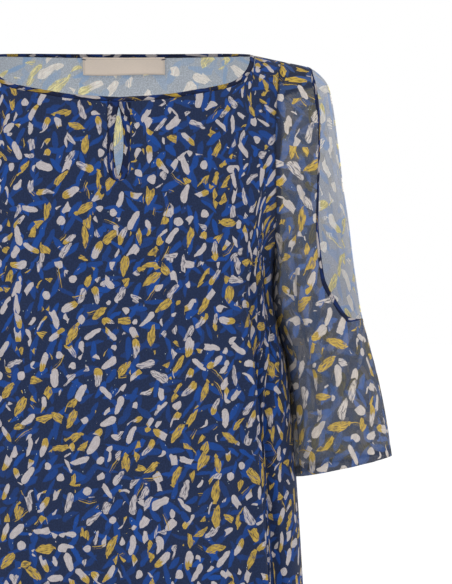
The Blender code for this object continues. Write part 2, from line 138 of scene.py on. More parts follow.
def lengths_along(points: Array, axis: int) -> Array:
    """Distance from the start of each line of a grid.

    Args:
        points: a grid of points, rows by columns by 3.
        axis: 0 to measure down the columns, 1 to measure along the rows.

    Returns:
        The running length at each point.
    """
    steps = np.linalg.norm(np.diff(points, axis=axis), axis=-1)
    start = np.zeros_like(np.take(steps, [0], axis=axis))
    return np.cumsum(np.concatenate([start, steps], axis=axis), axis=axis)


def spread_along(points: Array, shares: Array, share: float = 0.5, place: int = 0,
                 tied: float = 0.0) -> Array:
    """Points at given shares of a line's length.

    Args:
        points: the line.
        shares: the shares, from 0 to 1.
        share: the share that may be tied to a place.
        place: the index of that place on the line.
        tied: how far it is drawn there, from 0 to 1.

    Returns:
        The points.
    """
    lengths = np.concatenate([[0], np.cumsum(np.linalg.norm(np.diff(points, axis=0), axis=1))])
    drawn = np.interp(shares, [0, share, 1], [0, lengths[place], lengths[-1]])
    wanted = shares * lengths[-1] * (1 - tied) + drawn * tied
    return np.stack([np.interp(wanted, lengths, points[:, axis]) for axis in range(3)], axis=1)


def laid_flat(points: Array, guess: Array, sample: int, rounds: int, on_fold: bool = False) -> Array:
    """Lays a curved grid of cloth flat with as little stretch as can be, as a pattern is cut.

    Args:
        points: the grid of points, rows by columns by 3.
        guess: a first flat place for each point.
        sample: how many rows and columns are laid; the rest follow them.
        rounds: how often each thread between two of them is let out or taken in.
        on_fold: whether the first column lies on the fold of the cloth and stays where it is.

    Returns:
        The flat place of each point, rows by columns by 2.
    """
    rows = np.unique(np.linspace(0, len(points) - 1, sample).round().astype(int))
    columns = np.unique(np.linspace(0, points.shape[1] - 1, sample).round().astype(int))
    solid, flat = points[rows][:, columns], guess[rows][:, columns].astype(float)
    near, far = slice(None, -1), slice(1, None)
    ties = [((slice(None), near), (slice(None), far)), ((near, slice(None)), (far, slice(None))),
            ((near, near), (far, far)), ((near, far), (far, near))]
    spans = [np.linalg.norm(solid[b] - solid[a], axis=-1) for a, b in ties]
    fold = flat[:, 0].copy()
    for _ in range(rounds):
        pull = np.zeros_like(flat)
        for (a, b), span in zip(ties, spans):
            reach = flat[b] - flat[a]
            length = np.maximum(np.linalg.norm(reach, axis=-1), TINY)
            change = reach * ((1 - span / length) / 2)[..., None]
            pull[a] += change
            pull[b] -= change
        flat += pull * 0.28
        if on_fold:
            flat[:, 0] = fold
    across, down = np.arange(points.shape[1]), np.arange(len(points))
    wide = np.stack([[np.interp(across, columns, row) for row in flat[..., k]]
                     for k in (0, 1)], axis=-1)
    return np.stack([np.stack([np.interp(down, rows, line) for line in wide[..., k].T], axis=1)
                     for k in (0, 1)], axis=-1)


def grid_normals(points: Array) -> Array:
    """Unit normals of a grid of points, facing either way."""
    return unit(np.cross(np.gradient(points, axis=0), np.gradient(points, axis=1)))


def grid_faces(index: Array) -> Array:
    """Quads over a grid of vertex numbers."""
    corners = (index[:-1, :-1], index[1:, :-1], index[1:, 1:], index[:-1, 1:])
    return np.stack([corner.ravel() for corner in corners], axis=1)


def face_sums(points: Array, faces: Array) -> Array:
    """At each point, the sum of the directions that its faces face."""
    first, second, third, fourth = (points[faces[:, corner]] for corner in range(4))
    facing = np.cross(third - first, fourth - second)
    sums = np.zeros(points.shape)
    for corner in range(4):
        np.add.at(sums, faces[:, corner], facing)
    return sums


def ripples(across: Array, along: Array, seed: int, waves: int, finest: float) -> Array:
    """Low uneven ripples, as a sum of seeded waves.

    Args:
        across: a coordinate on the cloth, in metres.
        along: the other coordinate.
        seed: picks the waves.
        waves: how many there are.
        finest: the shortest wave, in metres.

    Returns:
        A height at each point, mostly between -1 and 1.
    """
    draw = np.random.default_rng(seed)
    total = np.zeros(np.shape(across))
    for _ in range(waves):
        length = finest * draw.uniform(1, 4)
        heading = draw.normal(0, 0.35)
        phase = draw.uniform(0, 2 * math.pi)
        place = across * math.cos(heading) + along * math.sin(heading)
        total += np.sin(2 * math.pi * place / length + phase)
    return total / math.sqrt(waves)


class Term:
    """A number, vector or colour on its way through a material's nodes."""

    def __init__(self, web: "Web", socket: bpy.types.NodeSocket) -> None:
        """Wraps an output socket of one of the web's nodes."""
        self.web = web
        self.socket = socket

    def __add__(self, other: "Value") -> "Term":
        """The sum."""
        return self.web.maths("ADD", self, other)

    __radd__ = __add__

    def __sub__(self, other: "Value") -> "Term":
        """The difference."""
        return self.web.maths("SUBTRACT", self, other)

    def __rsub__(self, other: "Value") -> "Term":
        """The difference from a number."""
        return self.web.maths("SUBTRACT", other, self)

    def __mul__(self, other: "Value") -> "Term":
        """The product."""
        return self.web.maths("MULTIPLY", self, other)

    __rmul__ = __mul__

    def __truediv__(self, other: "Value") -> "Term":
        """The quotient."""
        return self.web.maths("DIVIDE", self, other)

    def __pow__(self, other: "Value") -> "Term":
        """The power."""
        return self.web.maths("POWER", self, other)

    def __abs__(self) -> "Term":
        """The size without its sign."""
        return self.web.maths("ABSOLUTE", self)

    def over(self, limit: "Value") -> "Term":
        """1 where this is over the limit, otherwise 0."""
        return self.web.maths("GREATER_THAN", self, limit)

    def under(self, limit: "Value") -> "Term":
        """1 where this is under the limit, otherwise 0."""
        return self.web.maths("LESS_THAN", self, limit)

    def least(self, floor: "Value") -> "Term":
        """This, or the floor where that is more."""
        return self.web.maths("MAXIMUM", self, floor)

    def step(self, start: float, full: float) -> "Term":
        """A soft step from 0 at start to 1 at full."""
        settings = {"interpolation_type": "SMOOTHSTEP"}
        sockets = {"Value": self, "From Min": start, "From Max": full}
        return Term(self.web, self.web.node("ShaderNodeMapRange", settings, sockets).outputs[0])

    def between(self, low: float, high: float) -> "Term":
        """low where this is 0, high where it is 1."""
        return self * (high - low) + low

    def parts(self) -> tuple["Term", "Term", "Term"]:
        """The three numbers of a vector or colour."""
        outputs = self.web.node("ShaderNodeSeparateXYZ", {}, {0: self}).outputs
        return Term(self.web, outputs[0]), Term(self.web, outputs[1]), Term(self.web, outputs[2])


Value = Term | float
Colour = tuple[float, float, float]


class Web:
    """The node tree of one material."""

    def __init__(self, name: str) -> None:
        """Starts a material with an empty node tree."""
        self.material = bpy.data.materials.new(name)
        self.material.use_nodes = True
        self.tree = self.material.node_tree
        self.tree.nodes.clear()

    def node(self, kind: str, settings: Mapping[str, object],
             sockets: Mapping[int | str, object]) -> bpy.types.Node:
        """Adds a node.

        Args:
            kind: the node's type.
            settings: what is set on it before its sockets.
            sockets: a value or a link for each input, by name or number.

        Returns:
            The node.
        """
        made = self.tree.nodes.new(kind)
        for name, setting in settings.items():
            setattr(made, name, setting)
        for key, value in sockets.items():
            if isinstance(value, Term):
                self.tree.links.new(value.socket, made.inputs[key])
            else:
                made.inputs[key].default_value = value
        return made

    def maths(self, operation: str, *values: Value) -> Term:
        """A Math node on up to three values."""
        made = self.node("ShaderNodeMath", {"operation": operation}, dict(enumerate(values)))
        return Term(self, made.outputs[0])

    def vector(self, operation: str, first: Term, second: object) -> Term:
        """A Vector Math node on two vectors, or on a vector and a scale."""
        key = "Scale" if operation == "SCALE" else 1
        made = self.node("ShaderNodeVectorMath", {"operation": operation}, {0: first, key: second})
        return Term(self, made.outputs[0])

    def blend(self, share: Value, first: object, second: object) -> Term:
        """A colour that goes from first to second with the share."""
        first, second = (c if isinstance(c, Term) else (*c, 1.0) for c in (first, second))
        settings = {"data_type": "RGBA", "clamp_factor": True}
        made = self.node("ShaderNodeMix", settings, {0: share, 6: first, 7: second})
        return Term(self, made.outputs[2])

    def point(self, x: Value, y: Value, z: Value = 0.0) -> Term:
        """A vector from its three numbers."""
        return Term(self, self.node("ShaderNodeCombineXYZ", {}, {0: x, 1: y, 2: z}).outputs[0])

    def noise(self, place: Term, scale: float, detail: float = 2.0) -> Term:
        """Soft noise from 0 to 1 on a flat place, scale being its lumps to a millimetre."""
        sockets = {"Vector": place, "Scale": scale, "Detail": detail}
        made = self.node("ShaderNodeTexNoise", {"noise_dimensions": "2D"}, sockets)
        return Term(self, made.outputs["Fac"])

    def warp(self, place: Term, scale: float) -> Term:
        """A noise vector with its parts from 0 to 1, for shifting places."""
        sockets = {"Vector": place, "Scale": scale, "Detail": 1.0}
        made = self.node("ShaderNodeTexNoise", {"noise_dimensions": "2D"}, sockets)
        return Term(self, made.outputs["Color"])

    def lottery(self, place: Term) -> tuple[Term, Term, Term]:
        """Three random numbers from 0 to 1 that belong to a place."""
        made = self.node("ShaderNodeTexWhiteNoise", {"noise_dimensions": "2D"}, {"Vector": place})
        return Term(self, made.outputs["Color"]).parts()

    def attribute(self, name: str) -> Term:
        """A named value of the mesh."""
        made = self.node("ShaderNodeAttribute", {"attribute_name": name}, {})
        return Term(self, made.outputs["Fac"])

    def cloth_place(self, scale: float) -> Term:
        """The place on the flat cloth, in millimetres over scale."""
        made = self.node("ShaderNodeUVMap", {"uv_map": CLOTH_MAP}, {})
        return self.vector("SCALE", Term(self, made.outputs[0]), 1000.0 / scale)

    def bump(self, height: Term, strength: float, distance: float) -> Term:
        """A bumped normal."""
        sockets = {"Height": height, "Strength": strength, "Distance": distance}
        return Term(self, self.node("ShaderNodeBump", {}, sockets).outputs[0])

    def finish(self, sockets: Mapping[int | str, object]) -> bpy.types.Material:
        """Ends the tree in a Principled shader with these sockets, and gives the material."""
        shader = self.node("ShaderNodeBsdfPrincipled", {}, sockets)
        surface = Term(self, shader.outputs[0])
        self.node("ShaderNodeOutputMaterial", {}, {"Surface": surface})
        return self.material


@dataclass(frozen=True)
class Motif:
    """Where one scattered motif lies: its own axes, and random numbers that are its alone."""

    along: Term
    across: Term
    kind: Term
    size: Term
    slim: Term
    quirk: Term
    hair: Term


@dataclass(frozen=True)
class Layer:
    """One layer of the main scatter: its covers, its surround, and what lies on top of what."""

    petal: Term
    leaf: Term
    surround: Term
    rank: Term
    hair: Term


@dataclass(frozen=True)
class Coverage:
    """How much of the cloth each part of the print covers, each from 0 to 1."""

    stroke: Term
    petal: Term
    leaf: Term
    hair: Term


@dataclass(frozen=True)
class PetalPrint:
    """A hand-painted petal print: broad strokes, petals, leaves, dots and thin arcs, in mm."""

    cell: float = 13.6
    scatter: float = 0.70
    petal_reach: tuple[float, float] = (7.2, 10.4)
    petal_breadth: tuple[float, float] = (2.6, 4.2)
    leaf_reach: tuple[float, float] = (9.5, 13.0)
    leaf_breadth: tuple[float, float] = (3.1, 4.8)
    dot_radius: tuple[float, float] = (3.4, 4.8)
    arc_reach: tuple[float, float] = (8.0, 11.5)
    arc_width: float = 0.8
    blob_radius: float = 2.5
    stroke_cell: float = 20.0
    stroke_reach: tuple[float, float] = (8.0, 13.5)
    stroke_breadth: tuple[float, float] = (2.1, 3.8)
    small_cell: float = 20.0
    small_reach: tuple[float, float] = (2.6, 5.0)
    small_breadth: tuple[float, float] = (1.3, 2.2)
    edge: float = 0.55
    surround: float = 1.1
    wobble: float = 2.4
    slant: float = 1.0
    petals_below: float = 0.40
    tipped_below: float = 0.60
    leaves_below: float = 0.82
    dots_below: float = 0.90

    def motif(self, web: Web, place: Term, cell: float, feature: str, shift: float) -> Motif:
        """The motif nearest to a place.

        Args:
            web: the material's nodes.
            place: the place on the cloth, in millimetres.
            cell: the mean distance between motifs.
            feature: F1 for the nearest motif, F2 for the next.
            shift: moves this scatter off the others.

        Returns:
            The motif's axes and numbers.
        """
        moved = web.vector("ADD", place, (shift, 0.37 * shift, 0.0))
        settings = {"voronoi_dimensions": "2D", "feature": feature}
        sockets = {"Vector": moved, "Scale": 1 / cell, "Randomness": self.scatter}
        found = web.node("ShaderNodeTexVoronoi", settings, sockets)
        centre = Term(web, found.outputs["Position"])
        kind, size, slim = Term(web, found.outputs["Color"]).parts()
        turn, quirk, _ = web.lottery(web.vector("SCALE", centre, 1.7))
        x, y, _ = web.vector("SUBTRACT", moved, centre).parts()
        turn = turn * math.tau
        turn = turn + web.maths("SINE", (self.slant - turn) * 2) * 0.30
        cos, sin = web.maths("COSINE", turn), web.maths("SINE", turn)
        along, across = x * cos + y * sin, y * cos - x * sin
        brush = web.point(along * 0.16 + kind * 90, across * 1.05 + quirk * 70)
        return Motif(along, across, kind, size, slim, quirk, web.noise(brush, 1.0, 2.0))

    def shape(self, motif: Motif, reach: tuple[float, float], breadth: tuple[float, float],
              blunt: float, rough: Term) -> tuple[Term, Term]:
        """A painted mark.

        Args:
            motif: where it lies.
            reach: its half length, from and to.
            breadth: its half width, from and to.
            blunt: 1 gives a pointed leaf, and more a rounder end.
            rough: the roughness of its edge.

        Returns:
            How far inside its edge a place is, and how far along it, from -1 to 1.
        """
        t = motif.along / motif.size.between(*reach)
        swell = (1 - (t * t) ** blunt).least(0.0) ** (1 / (0.6 + 0.4 * blunt))
        swell = swell * (t * (motif.quirk * 0.7 - 0.35) + 1.0)
        bowed = motif.across - (t * t - 0.4) * (motif.quirk * 3.2 - 1.6)
        return motif.slim.between(*breadth) * swell - abs(bowed) + rough, t

    def fill(self, inside: Term) -> Term:
        """The cover of a mark."""
        return inside.step(0.0, self.edge)

    def arc(self, motif: Motif, rough: Term) -> Term:
        """A bowed brush line with a fainter one beside it, from a small blob."""
        reach = motif.size.between(*self.arc_reach)
        t = motif.along / reach
        bowed = motif.across - t * t * (motif.quirk * 5.0 - 2.5)
        width = 1 - abs(t) * 0.45
        line = self.fill(width * self.arc_width - abs(bowed) + rough * 0.6)
        twin = self.fill(width * (self.arc_width * 0.55) - abs(bowed - 1.9) + rough * 0.6)
        return (line + twin * 0.8) * abs(t).under(1.0)

    def blob(self, web: Web, motif: Motif, rough: Term) -> Term:
        """A small round touch of the brush at a leaf's end."""
        ahead = motif.along - motif.size.between(*self.leaf_reach) * 0.98
        span = web.maths("SQRT", ahead * ahead + motif.across * motif.across)
        return self.fill(self.blob_radius - span + rough)

    def layer(self, web: Web, place: Term, feature: str, rough: Term) -> Layer:
        """One layer of the main scatter.

        Args:
            web: the material's nodes.
            place: the place on the cloth, in millimetres.
            feature: F1 or F2.
            rough: the roughness of the edges.

        Returns:
            The layer.
        """
        motif = self.motif(web, place, self.cell, feature, 0.0)
        petal, t = self.shape(motif, self.petal_reach, self.petal_breadth, 2.2, rough)
        leaf, _ = self.shape(motif, self.leaf_reach, self.leaf_breadth, 1.1, rough)
        dot, _ = self.shape(motif, self.dot_radius, self.dot_radius, 1.4, rough * 0.6)
        is_petal = motif.kind.under(self.tipped_below)
        is_tipped = is_petal * motif.kind.over(self.petals_below)
        is_leaf = motif.kind.over(self.tipped_below) * motif.kind.under(self.leaves_below)
        is_dot = motif.kind.over(self.leaves_below) * motif.kind.under(self.dots_below)
        is_arc = motif.kind.over(self.dots_below)
        worn = 1 - motif.hair.step(0.50, 0.62) * motif.quirk.over(0.72) * 0.75
        dry = 1 - motif.hair.step(0.55, 0.66) * 0.75
        tip = is_tipped * (t + (motif.hair - 0.5) * 0.9).step(0.02, 0.30)
        blob = self.blob(web, motif, rough) * is_leaf * motif.quirk.over(0.55)
        petals = self.fill(petal) * is_petal * worn + self.fill(dot) * is_dot
        leaves = self.fill(leaf) * is_leaf * dry + blob + self.fill(petal) * tip
        leaves = leaves + self.arc(motif, rough) * is_arc
        near = (petal * is_petal).least(leaf * is_leaf).least(dot * is_dot)
        none = 1 - is_petal - is_leaf - is_dot
        surround = (near - none * 9).step(-self.surround, -self.surround * 0.5)
        return Layer(petals, leaves, surround, motif.size, motif.hair)

    def cover(self, web: Web, place: Term) -> Coverage:
        """The whole print.

        Args:
            web: the material's nodes.
            place: the place on the cloth, in millimetres.

        Returns:
            The cover of each of its colours, and the hairs of the brush.
        """
        wander = web.vector("SUBTRACT", web.warp(place, 1 / 9.0), (0.5, 0.5, 0.5))
        place = web.vector("ADD", place, web.vector("SCALE", wander, self.wobble))
        rough = (web.noise(place, 1 / 1.3, 2.0) - 0.5) * 0.9
        first, second = (self.layer(web, place, feature, rough) for feature in ("F1", "F2"))
        second_over = second.rank.over(first.rank)
        first_seen = 1 - second.surround * second_over
        second_seen = 1 - first.surround * (1 - second_over)
        petal = (first.petal * first_seen).least(second.petal * second_seen)
        leaf = (first.leaf * first_seen).least(second.leaf * second_seen)
        bare = 1 - first.surround.least(second.surround)
        small = self.motif(web, place, self.small_cell, "F1", 131.0)
        dash, _ = self.shape(small, self.small_reach, self.small_breadth, 1.3, rough * 0.7)
        dash = self.fill(dash) * bare
        petal = petal.least(dash * small.kind.under(0.40))
        leaf = leaf.least(dash * small.kind.over(0.70))
        strokes = []
        for shift, feature in ((57.0, "F1"), (57.0, "F2"), (211.0, "F1")):
            broad = self.motif(web, place, self.stroke_cell, feature, shift)
            mark, _ = self.shape(broad, self.stroke_reach, self.stroke_breadth, 1.5, rough * 1.4)
            strokes.append(mark.step(-0.2, 1.0) * broad.kind.between(0.30, 1.0)
                           * broad.hair.between(0.65, 1.25))
        stroke = strokes[0].least(strokes[1]).least(strokes[2])
        top = web.maths("MINIMUM", leaf, 1.0), web.maths("MINIMUM", petal, 1.0)
        return Coverage(stroke, top[1], top[0], first.hair)


@dataclass(frozen=True)
class ChiffonFinish:
    """Printed chiffon: its colours, how much of the light each lets through, and its thread."""

    name: str
    ground: Colour
    stroke: Colour
    petal: Colour
    leaf: Colour
    print_scale: float = 1.0
    sheer: bool = False
    ground_cover: float = 0.77
    petal_cover: float = 0.88
    thread: float = 0.14
    glint: Colour = (0.45, 0.52, 0.54)
    glint_share: float = 0.006
    roughness: float = 0.85
    specular: float = 0.10
    # glow is painted light: the cloth's own colour given off as emission, for the light that comes through
    # the thin cloth.
    glow: float = 0.0
    doubling: float = 1.0
    stretch: tuple[float, float, float] = (1.0, 1.0, 1.0)
    design: PetalPrint = field(default_factory=PetalPrint)

    def glints(self, web: Web, place: Term) -> Term:
        """Short flecks of metal thread, in small groups."""
        group = web.noise(place, 1 / 11.0, 1.0).step(0.62, 0.68)
        fine = web.vector("MULTIPLY", place, (1 / 0.50, 1 / 1.1, 1.0))
        cell = web.vector("FLOOR", fine, (0.0, 0.0, 0.0))
        chance, _, _ = web.lottery(cell)
        return group * chance.over(1 - self.glint_share)

    def make(self) -> bpy.types.Material:
        """The material."""
        web = Web(self.name)
        true_place = web.cloth_place(1.0)
        place = web.vector("MULTIPLY", web.cloth_place(self.print_scale), self.stretch)
        cover = self.design.cover(web, place)
        mottle = web.noise(true_place, 1 / 1.6, 3.0)
        slub = web.noise(web.vector("MULTIPLY", true_place, (1.0, 0.06, 1.0)), 1 / 0.7, 3.0)
        weave = web.noise(true_place, 1 / 0.75, 1.0)
        brushed = cover.hair.step(0.30, 0.62)
        colour = web.blend(mottle.step(0.25, 0.8), self.ground, tuple(1.45 * c for c in self.ground))
        colour = web.blend(cover.stroke, colour, self.stroke)
        pale = web.blend(brushed, self.petal, tuple(0.80 * c for c in self.petal))
        gold = web.blend(brushed, self.leaf, tuple(0.62 * c for c in self.leaf))
        colour = web.blend(cover.petal, colour, pale)
        colour = web.blend(cover.leaf, colour, gold)
        grain = (slub - 0.5) * self.thread * 1.6 + (weave - 0.5) * self.thread * 2.2
        # Darker along seams and stitching, and on the sleeves painted shade where they lie against the body.
        colour = web.vector("SCALE", colour, grain + (1 - web.attribute("seam") * 0.45))
        glint = self.glints(web, true_place)
        colour = web.blend(glint, colour, self.glint)
        height = slub * 0.5 + weave * 0.5 + cover.petal * 0.2
        sockets = {
            "Base Color": colour,
            "Roughness": self.roughness - glint * 0.5,
            "Metallic": glint * 0.6,
            "Normal": web.bump(height, 0.35, 0.0004),
            "Specular IOR Level": self.specular,
            "Sheen Weight": 0.03,
            "Sheen Roughness": 0.5,
            # A glow above 0 is painted light: the colour is given off as emission.
            "Emission Color": colour,
            "Emission Strength": self.glow,
        }
        if self.sheer:
            sockets["Alpha"] = self.alpha(web, cover)
        return web.finish(sockets)

    def alpha(self, web: Web, cover: Coverage) -> Term:
        """How much of the light this face of the thin shell stops."""
        marked = cover.petal.least(cover.leaf)
        stopped = marked * (self.petal_cover - self.ground_cover) + self.ground_cover
        # cover adds the cloth's extra layers, and on the sleeves also opacity as painted shade against the
        # body.
        return 1 - (1 - stopped) * (1 - web.attribute("cover") * self.doubling)


@dataclass(frozen=True)
class LabelFinish:
    """Smooth woven tape, left blank."""

    name: str = "blank_tape"
    colour: Colour = (0.95, 0.80, 0.67)

    def make(self) -> bpy.types.Material:
        """The material."""
        web = Web(self.name)
        place = web.cloth_place(1.0)
        weft = web.noise(web.vector("MULTIPLY", place, (0.2, 1.0, 1.0)), 1 / 0.5, 2.0)
        colour = web.blend(weft, tuple(0.90 * c for c in self.colour), self.colour)
        return web.finish({
            "Base Color": web.vector("SCALE", colour, 1 - web.attribute("seam") * 0.16),
            "Roughness": 0.62,
            "Normal": web.bump(weft, 0.25, 0.0003),
        })


@dataclass(frozen=True)
class ThreadFinish:
    """Twisted sewing thread."""

    name: str = "navy_thread"
    colour: Colour = (0.020, 0.026, 0.080)

    def make(self) -> bpy.types.Material:
        """The material."""
        web = Web(self.name)
        x, y, _ = web.cloth_place(1.0).parts()
        twist = web.maths("SINE", (x + y) * 9.0) * 0.5 + 0.5
        colour = web.blend(twist, tuple(0.6 * c for c in self.colour), self.colour)
        return web.finish({
            "Base Color": colour,
            "Roughness": 0.6,
            "Normal": web.bump(twist, 0.4, 0.0002),
        })


@dataclass(frozen=True)
class StudioFinish:
    """The pale floor."""

    name: str = "pale_floor"
    colour: Colour = (0.90, 0.90, 0.90)
    glow: float = 0.16

    def make(self) -> bpy.types.Material:
        """The material."""
        web = Web(self.name)
        place = Term(web, web.node("ShaderNodeTexCoord", {}, {}).outputs["Object"])
        grain = web.noise(place, 3.0, 2.0)
        colour = web.blend(grain, tuple(0.985 * c for c in self.colour), self.colour)
        return web.finish({
            "Base Color": colour,
            "Roughness": 0.9,
            "Specular IOR Level": 0.0,
            "Emission Color": (1.0, 1.0, 1.0, 1.0),
            "Emission Strength": self.glow,
        })


class Finishes:
    """Every material of the blouse, made once."""

    def __init__(self) -> None:
        """Makes the materials."""
        dark = ChiffonFinish("printed_chiffon", ground=(0.0130, 0.0215, 0.0540),
                             stroke=(0.0120, 0.0600, 0.2650), petal=(0.480, 0.440, 0.450),
                             leaf=(0.500, 0.345, 0.080))
        # The wrong side is paler, and its glow is painted light for the light that comes through the cloth.
        pale = ChiffonFinish("wrong_side", ground=(0.350, 0.375, 0.410),
                             stroke=(0.260, 0.390, 0.580), petal=(0.860, 0.800, 0.730),
                             leaf=(0.880, 0.790, 0.420), print_scale=1.6, thread=0.20, glow=0.24)
        sheer = ChiffonFinish("sheer_chiffon", ground=(0.013, 0.019, 0.042),
                              stroke=(0.040, 0.100, 0.300), petal=(0.620, 0.560, 0.520),
                              leaf=(0.640, 0.430, 0.075), print_scale=1.15, sheer=True)
        # The sleeves' wrong side is paler, and its glow is painted light for the light that comes through.
        sheer_inside = ChiffonFinish("sheer_wrong_side", ground=(0.400, 0.430, 0.500),
                                     stroke=(0.240, 0.410, 0.780), petal=(0.930, 0.880, 0.820),
                                     leaf=(0.940, 0.820, 0.380), print_scale=1.4, sheer=True,
                                     ground_cover=0.56, petal_cover=0.95, glow=0.27, doubling=0.0)
        trim = ChiffonFinish("self_trim", ground=(0.0080, 0.0120, 0.0340),
                             stroke=(0.0080, 0.0330, 0.1600), petal=(0.440, 0.400, 0.400),
                             leaf=(0.440, 0.290, 0.045), print_scale=0.7, stretch=(0.5, 1.3, 1.0))
        self.dark = dark.make()
        self.pale = pale.make()
        self.sheer = sheer.make()
        self.sheer_inside = sheer_inside.make()
        self.trim = trim.make()
        self.label = LabelFinish().make()
        self.thread = ThreadFinish().make()
        self.floor = StudioFinish().make()


@dataclass
class Cloth:
    """Points on a surface, the faces over them, and where each lies on the flat cloth."""

    points: Array
    faces: Array
    flat: Array
    outward: Array
    marks: dict[str, Array] = field(default_factory=dict)
    free: Array | float = 1.0

    def normals(self) -> Array:
        """Unit normals on the side that outward faces."""
        sums = face_sums(self.points, self.faces)
        if np.sum(sums * self.outward) < 0:
            sums = -sums
        return unit(sums * self.free)

    def shell(self, name: str, finishes: Sequence[bpy.types.Material],
              thickness: Array | float = CHIFFON, raised: float = 0.0) -> bpy.types.Object:
        """A closed thin shell on the surface.

        Args:
            name: the piece's name.
            finishes: the material of the outer face, and that of the inner one.
            thickness: how far the inner face lies under the outer one, at each point or at all.
            raised: how far the outer face stands off the surface.

        Returns:
            The piece.
        """
        normals = self.normals()
        faces = self.faces
        if np.sum(face_sums(self.points, faces) * normals) < 0:
            faces = faces[:, ::-1]
        outer = self.points + normals * raised
        inner = outer - normals * np.broadcast_to(thickness, (len(outer),))[:, None]
        count = len(outer)
        starts, ends = faces.ravel(), np.roll(faces, -1, axis=1).ravel()
        keys, twins = starts * count + ends, ends * count + starts
        bare = ~np.isin(keys, twins)
        a, b = starts[bare], ends[bare]
        rim = np.stack([b, a, a + count, b + count], axis=1)
        inner_faces = faces[:, ::-1] + count
        quads = np.concatenate([faces, inner_faces, rim])
        slots = np.repeat([0, 1, 0], [len(faces), len(inner_faces), len(rim)])
        flat = np.concatenate([self.flat, self.flat])
        marks = {key: np.concatenate([value, value]) for key, value in self.marks.items()}
        return build(name, np.concatenate([outer, inner]), quads, flat, slots, finishes, marks)


def build(name: str, points: Array, quads: Array, flat: Array, slots: Array,
          finishes: Sequence[bpy.types.Material], marks: Mapping[str, Array]) -> bpy.types.Object:
    """A mesh object in the scene, shaded smooth.

    Args:
        name: the piece's name.
        points: its points.
        quads: its faces, four point numbers each.
        flat: where each point lies on the flat cloth, in metres.
        slots: the material number of each face.
        finishes: the materials.
        marks: named values for the materials, one for each point.

    Returns:
        The piece.
    """
    mesh = bpy.data.meshes.new(name)
    mesh.vertices.add(len(points))
    mesh.vertices.foreach_set("co", points.astype(np.float32).ravel())
    mesh.loops.add(quads.size)
    mesh.loops.foreach_set("vertex_index", quads.astype(np.int32).ravel())
    mesh.polygons.add(len(quads))
    mesh.polygons.foreach_set("loop_start", np.arange(0, quads.size, 4, dtype=np.int32))
    mesh.polygons.foreach_set("material_index", slots.astype(np.int32))
    for finish in finishes:
        mesh.materials.append(finish)
    layer = mesh.uv_layers.new(name=CLOTH_MAP)
    layer.uv.foreach_set("vector", flat[quads.ravel()].astype(np.float32).ravel())
    for key, values in marks.items():
        attribute = mesh.attributes.new(key, "FLOAT", "POINT")
        attribute.data.foreach_set("value", values.astype(np.float32))
    mesh.update(calc_edges=True)
    mesh.validate()
    mesh.shade_smooth()
    piece = bpy.data.objects.new(name, mesh)
    bpy.context.scene.collection.objects.link(piece)
    return piece


def tube(name: str, rings: Array, flat: Array, finish: bpy.types.Material, closed: bool,
         marks: Mapping[str, Array]) -> bpy.types.Object:
    """A solid swept through rings of points.

    Args:
        name: the piece's name.
        rings: ring by point by 3.
        flat: where each point lies on the flat cloth, in metres.
        finish: its material.
        closed: True where the last ring joins the first.
        marks: named values for the material, ring by point.

    Returns:
        The piece.
    """
    index = np.arange(rings[..., 0].size).reshape(rings.shape[:2])
    loop = np.concatenate([index, index[:, :1]], axis=1)
    if closed:
        loop = np.concatenate([loop, loop[:1]])
    quads = grid_faces(loop)
    points = rings.reshape(-1, 3)
    middle = np.repeat(rings.mean(axis=1), rings.shape[1], axis=0)
    if np.sum(face_sums(points, quads) * (points - middle)) < 0:
        quads = quads[:, ::-1]
    if not closed:
        size = rings.shape[1]
        caps = np.array([(a, a + 1, size - 2 - a, size - 1 - a) for a in range(size // 2 - 1)])
        ends = [caps, caps[:, ::-1] + index[-1, 0]]
        facing = face_sums(points, ends[0]).sum(axis=0)
        if np.dot(facing, rings[0].mean(axis=0) - rings[1].mean(axis=0)) < 0:
            ends = [end[:, ::-1] for end in ends]
        quads = np.concatenate([quads, *ends])
    slots = np.zeros(len(quads), int)
    flat_marks = {key: value.ravel() for key, value in marks.items()}
    return build(name, points, quads, flat.reshape(-1, 2), slots, [finish], flat_marks)


def settle(piece: bpy.types.Object, slot: str, *nodes: str) -> bpy.types.Object:
    """Puts a piece on the frame.

    Args:
        piece: the piece.
        slot: not used.
        nodes: the frame's nodes that it stands for.

    Returns:
        The piece.
    """
    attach(piece, "root")
    if nodes:
        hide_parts(*nodes)
    LOG.info("%s: %d faces", piece.name, len(piece.data.polygons))
    return piece


@dataclass(frozen=True)
class BodySection:
    """One level section of the body."""

    height: float
    half_width: float
    front_depth: float
    back_depth: float


@dataclass(frozen=True)
class ArmholePoint:
    """A point of the armhole seam, seen from the front."""

    height: float
    across: float


@dataclass(frozen=True)
class NeckPoint:
    """A point of the neckline, at a distance from the centre."""

    across: float
    front_height: float
    back_height: float


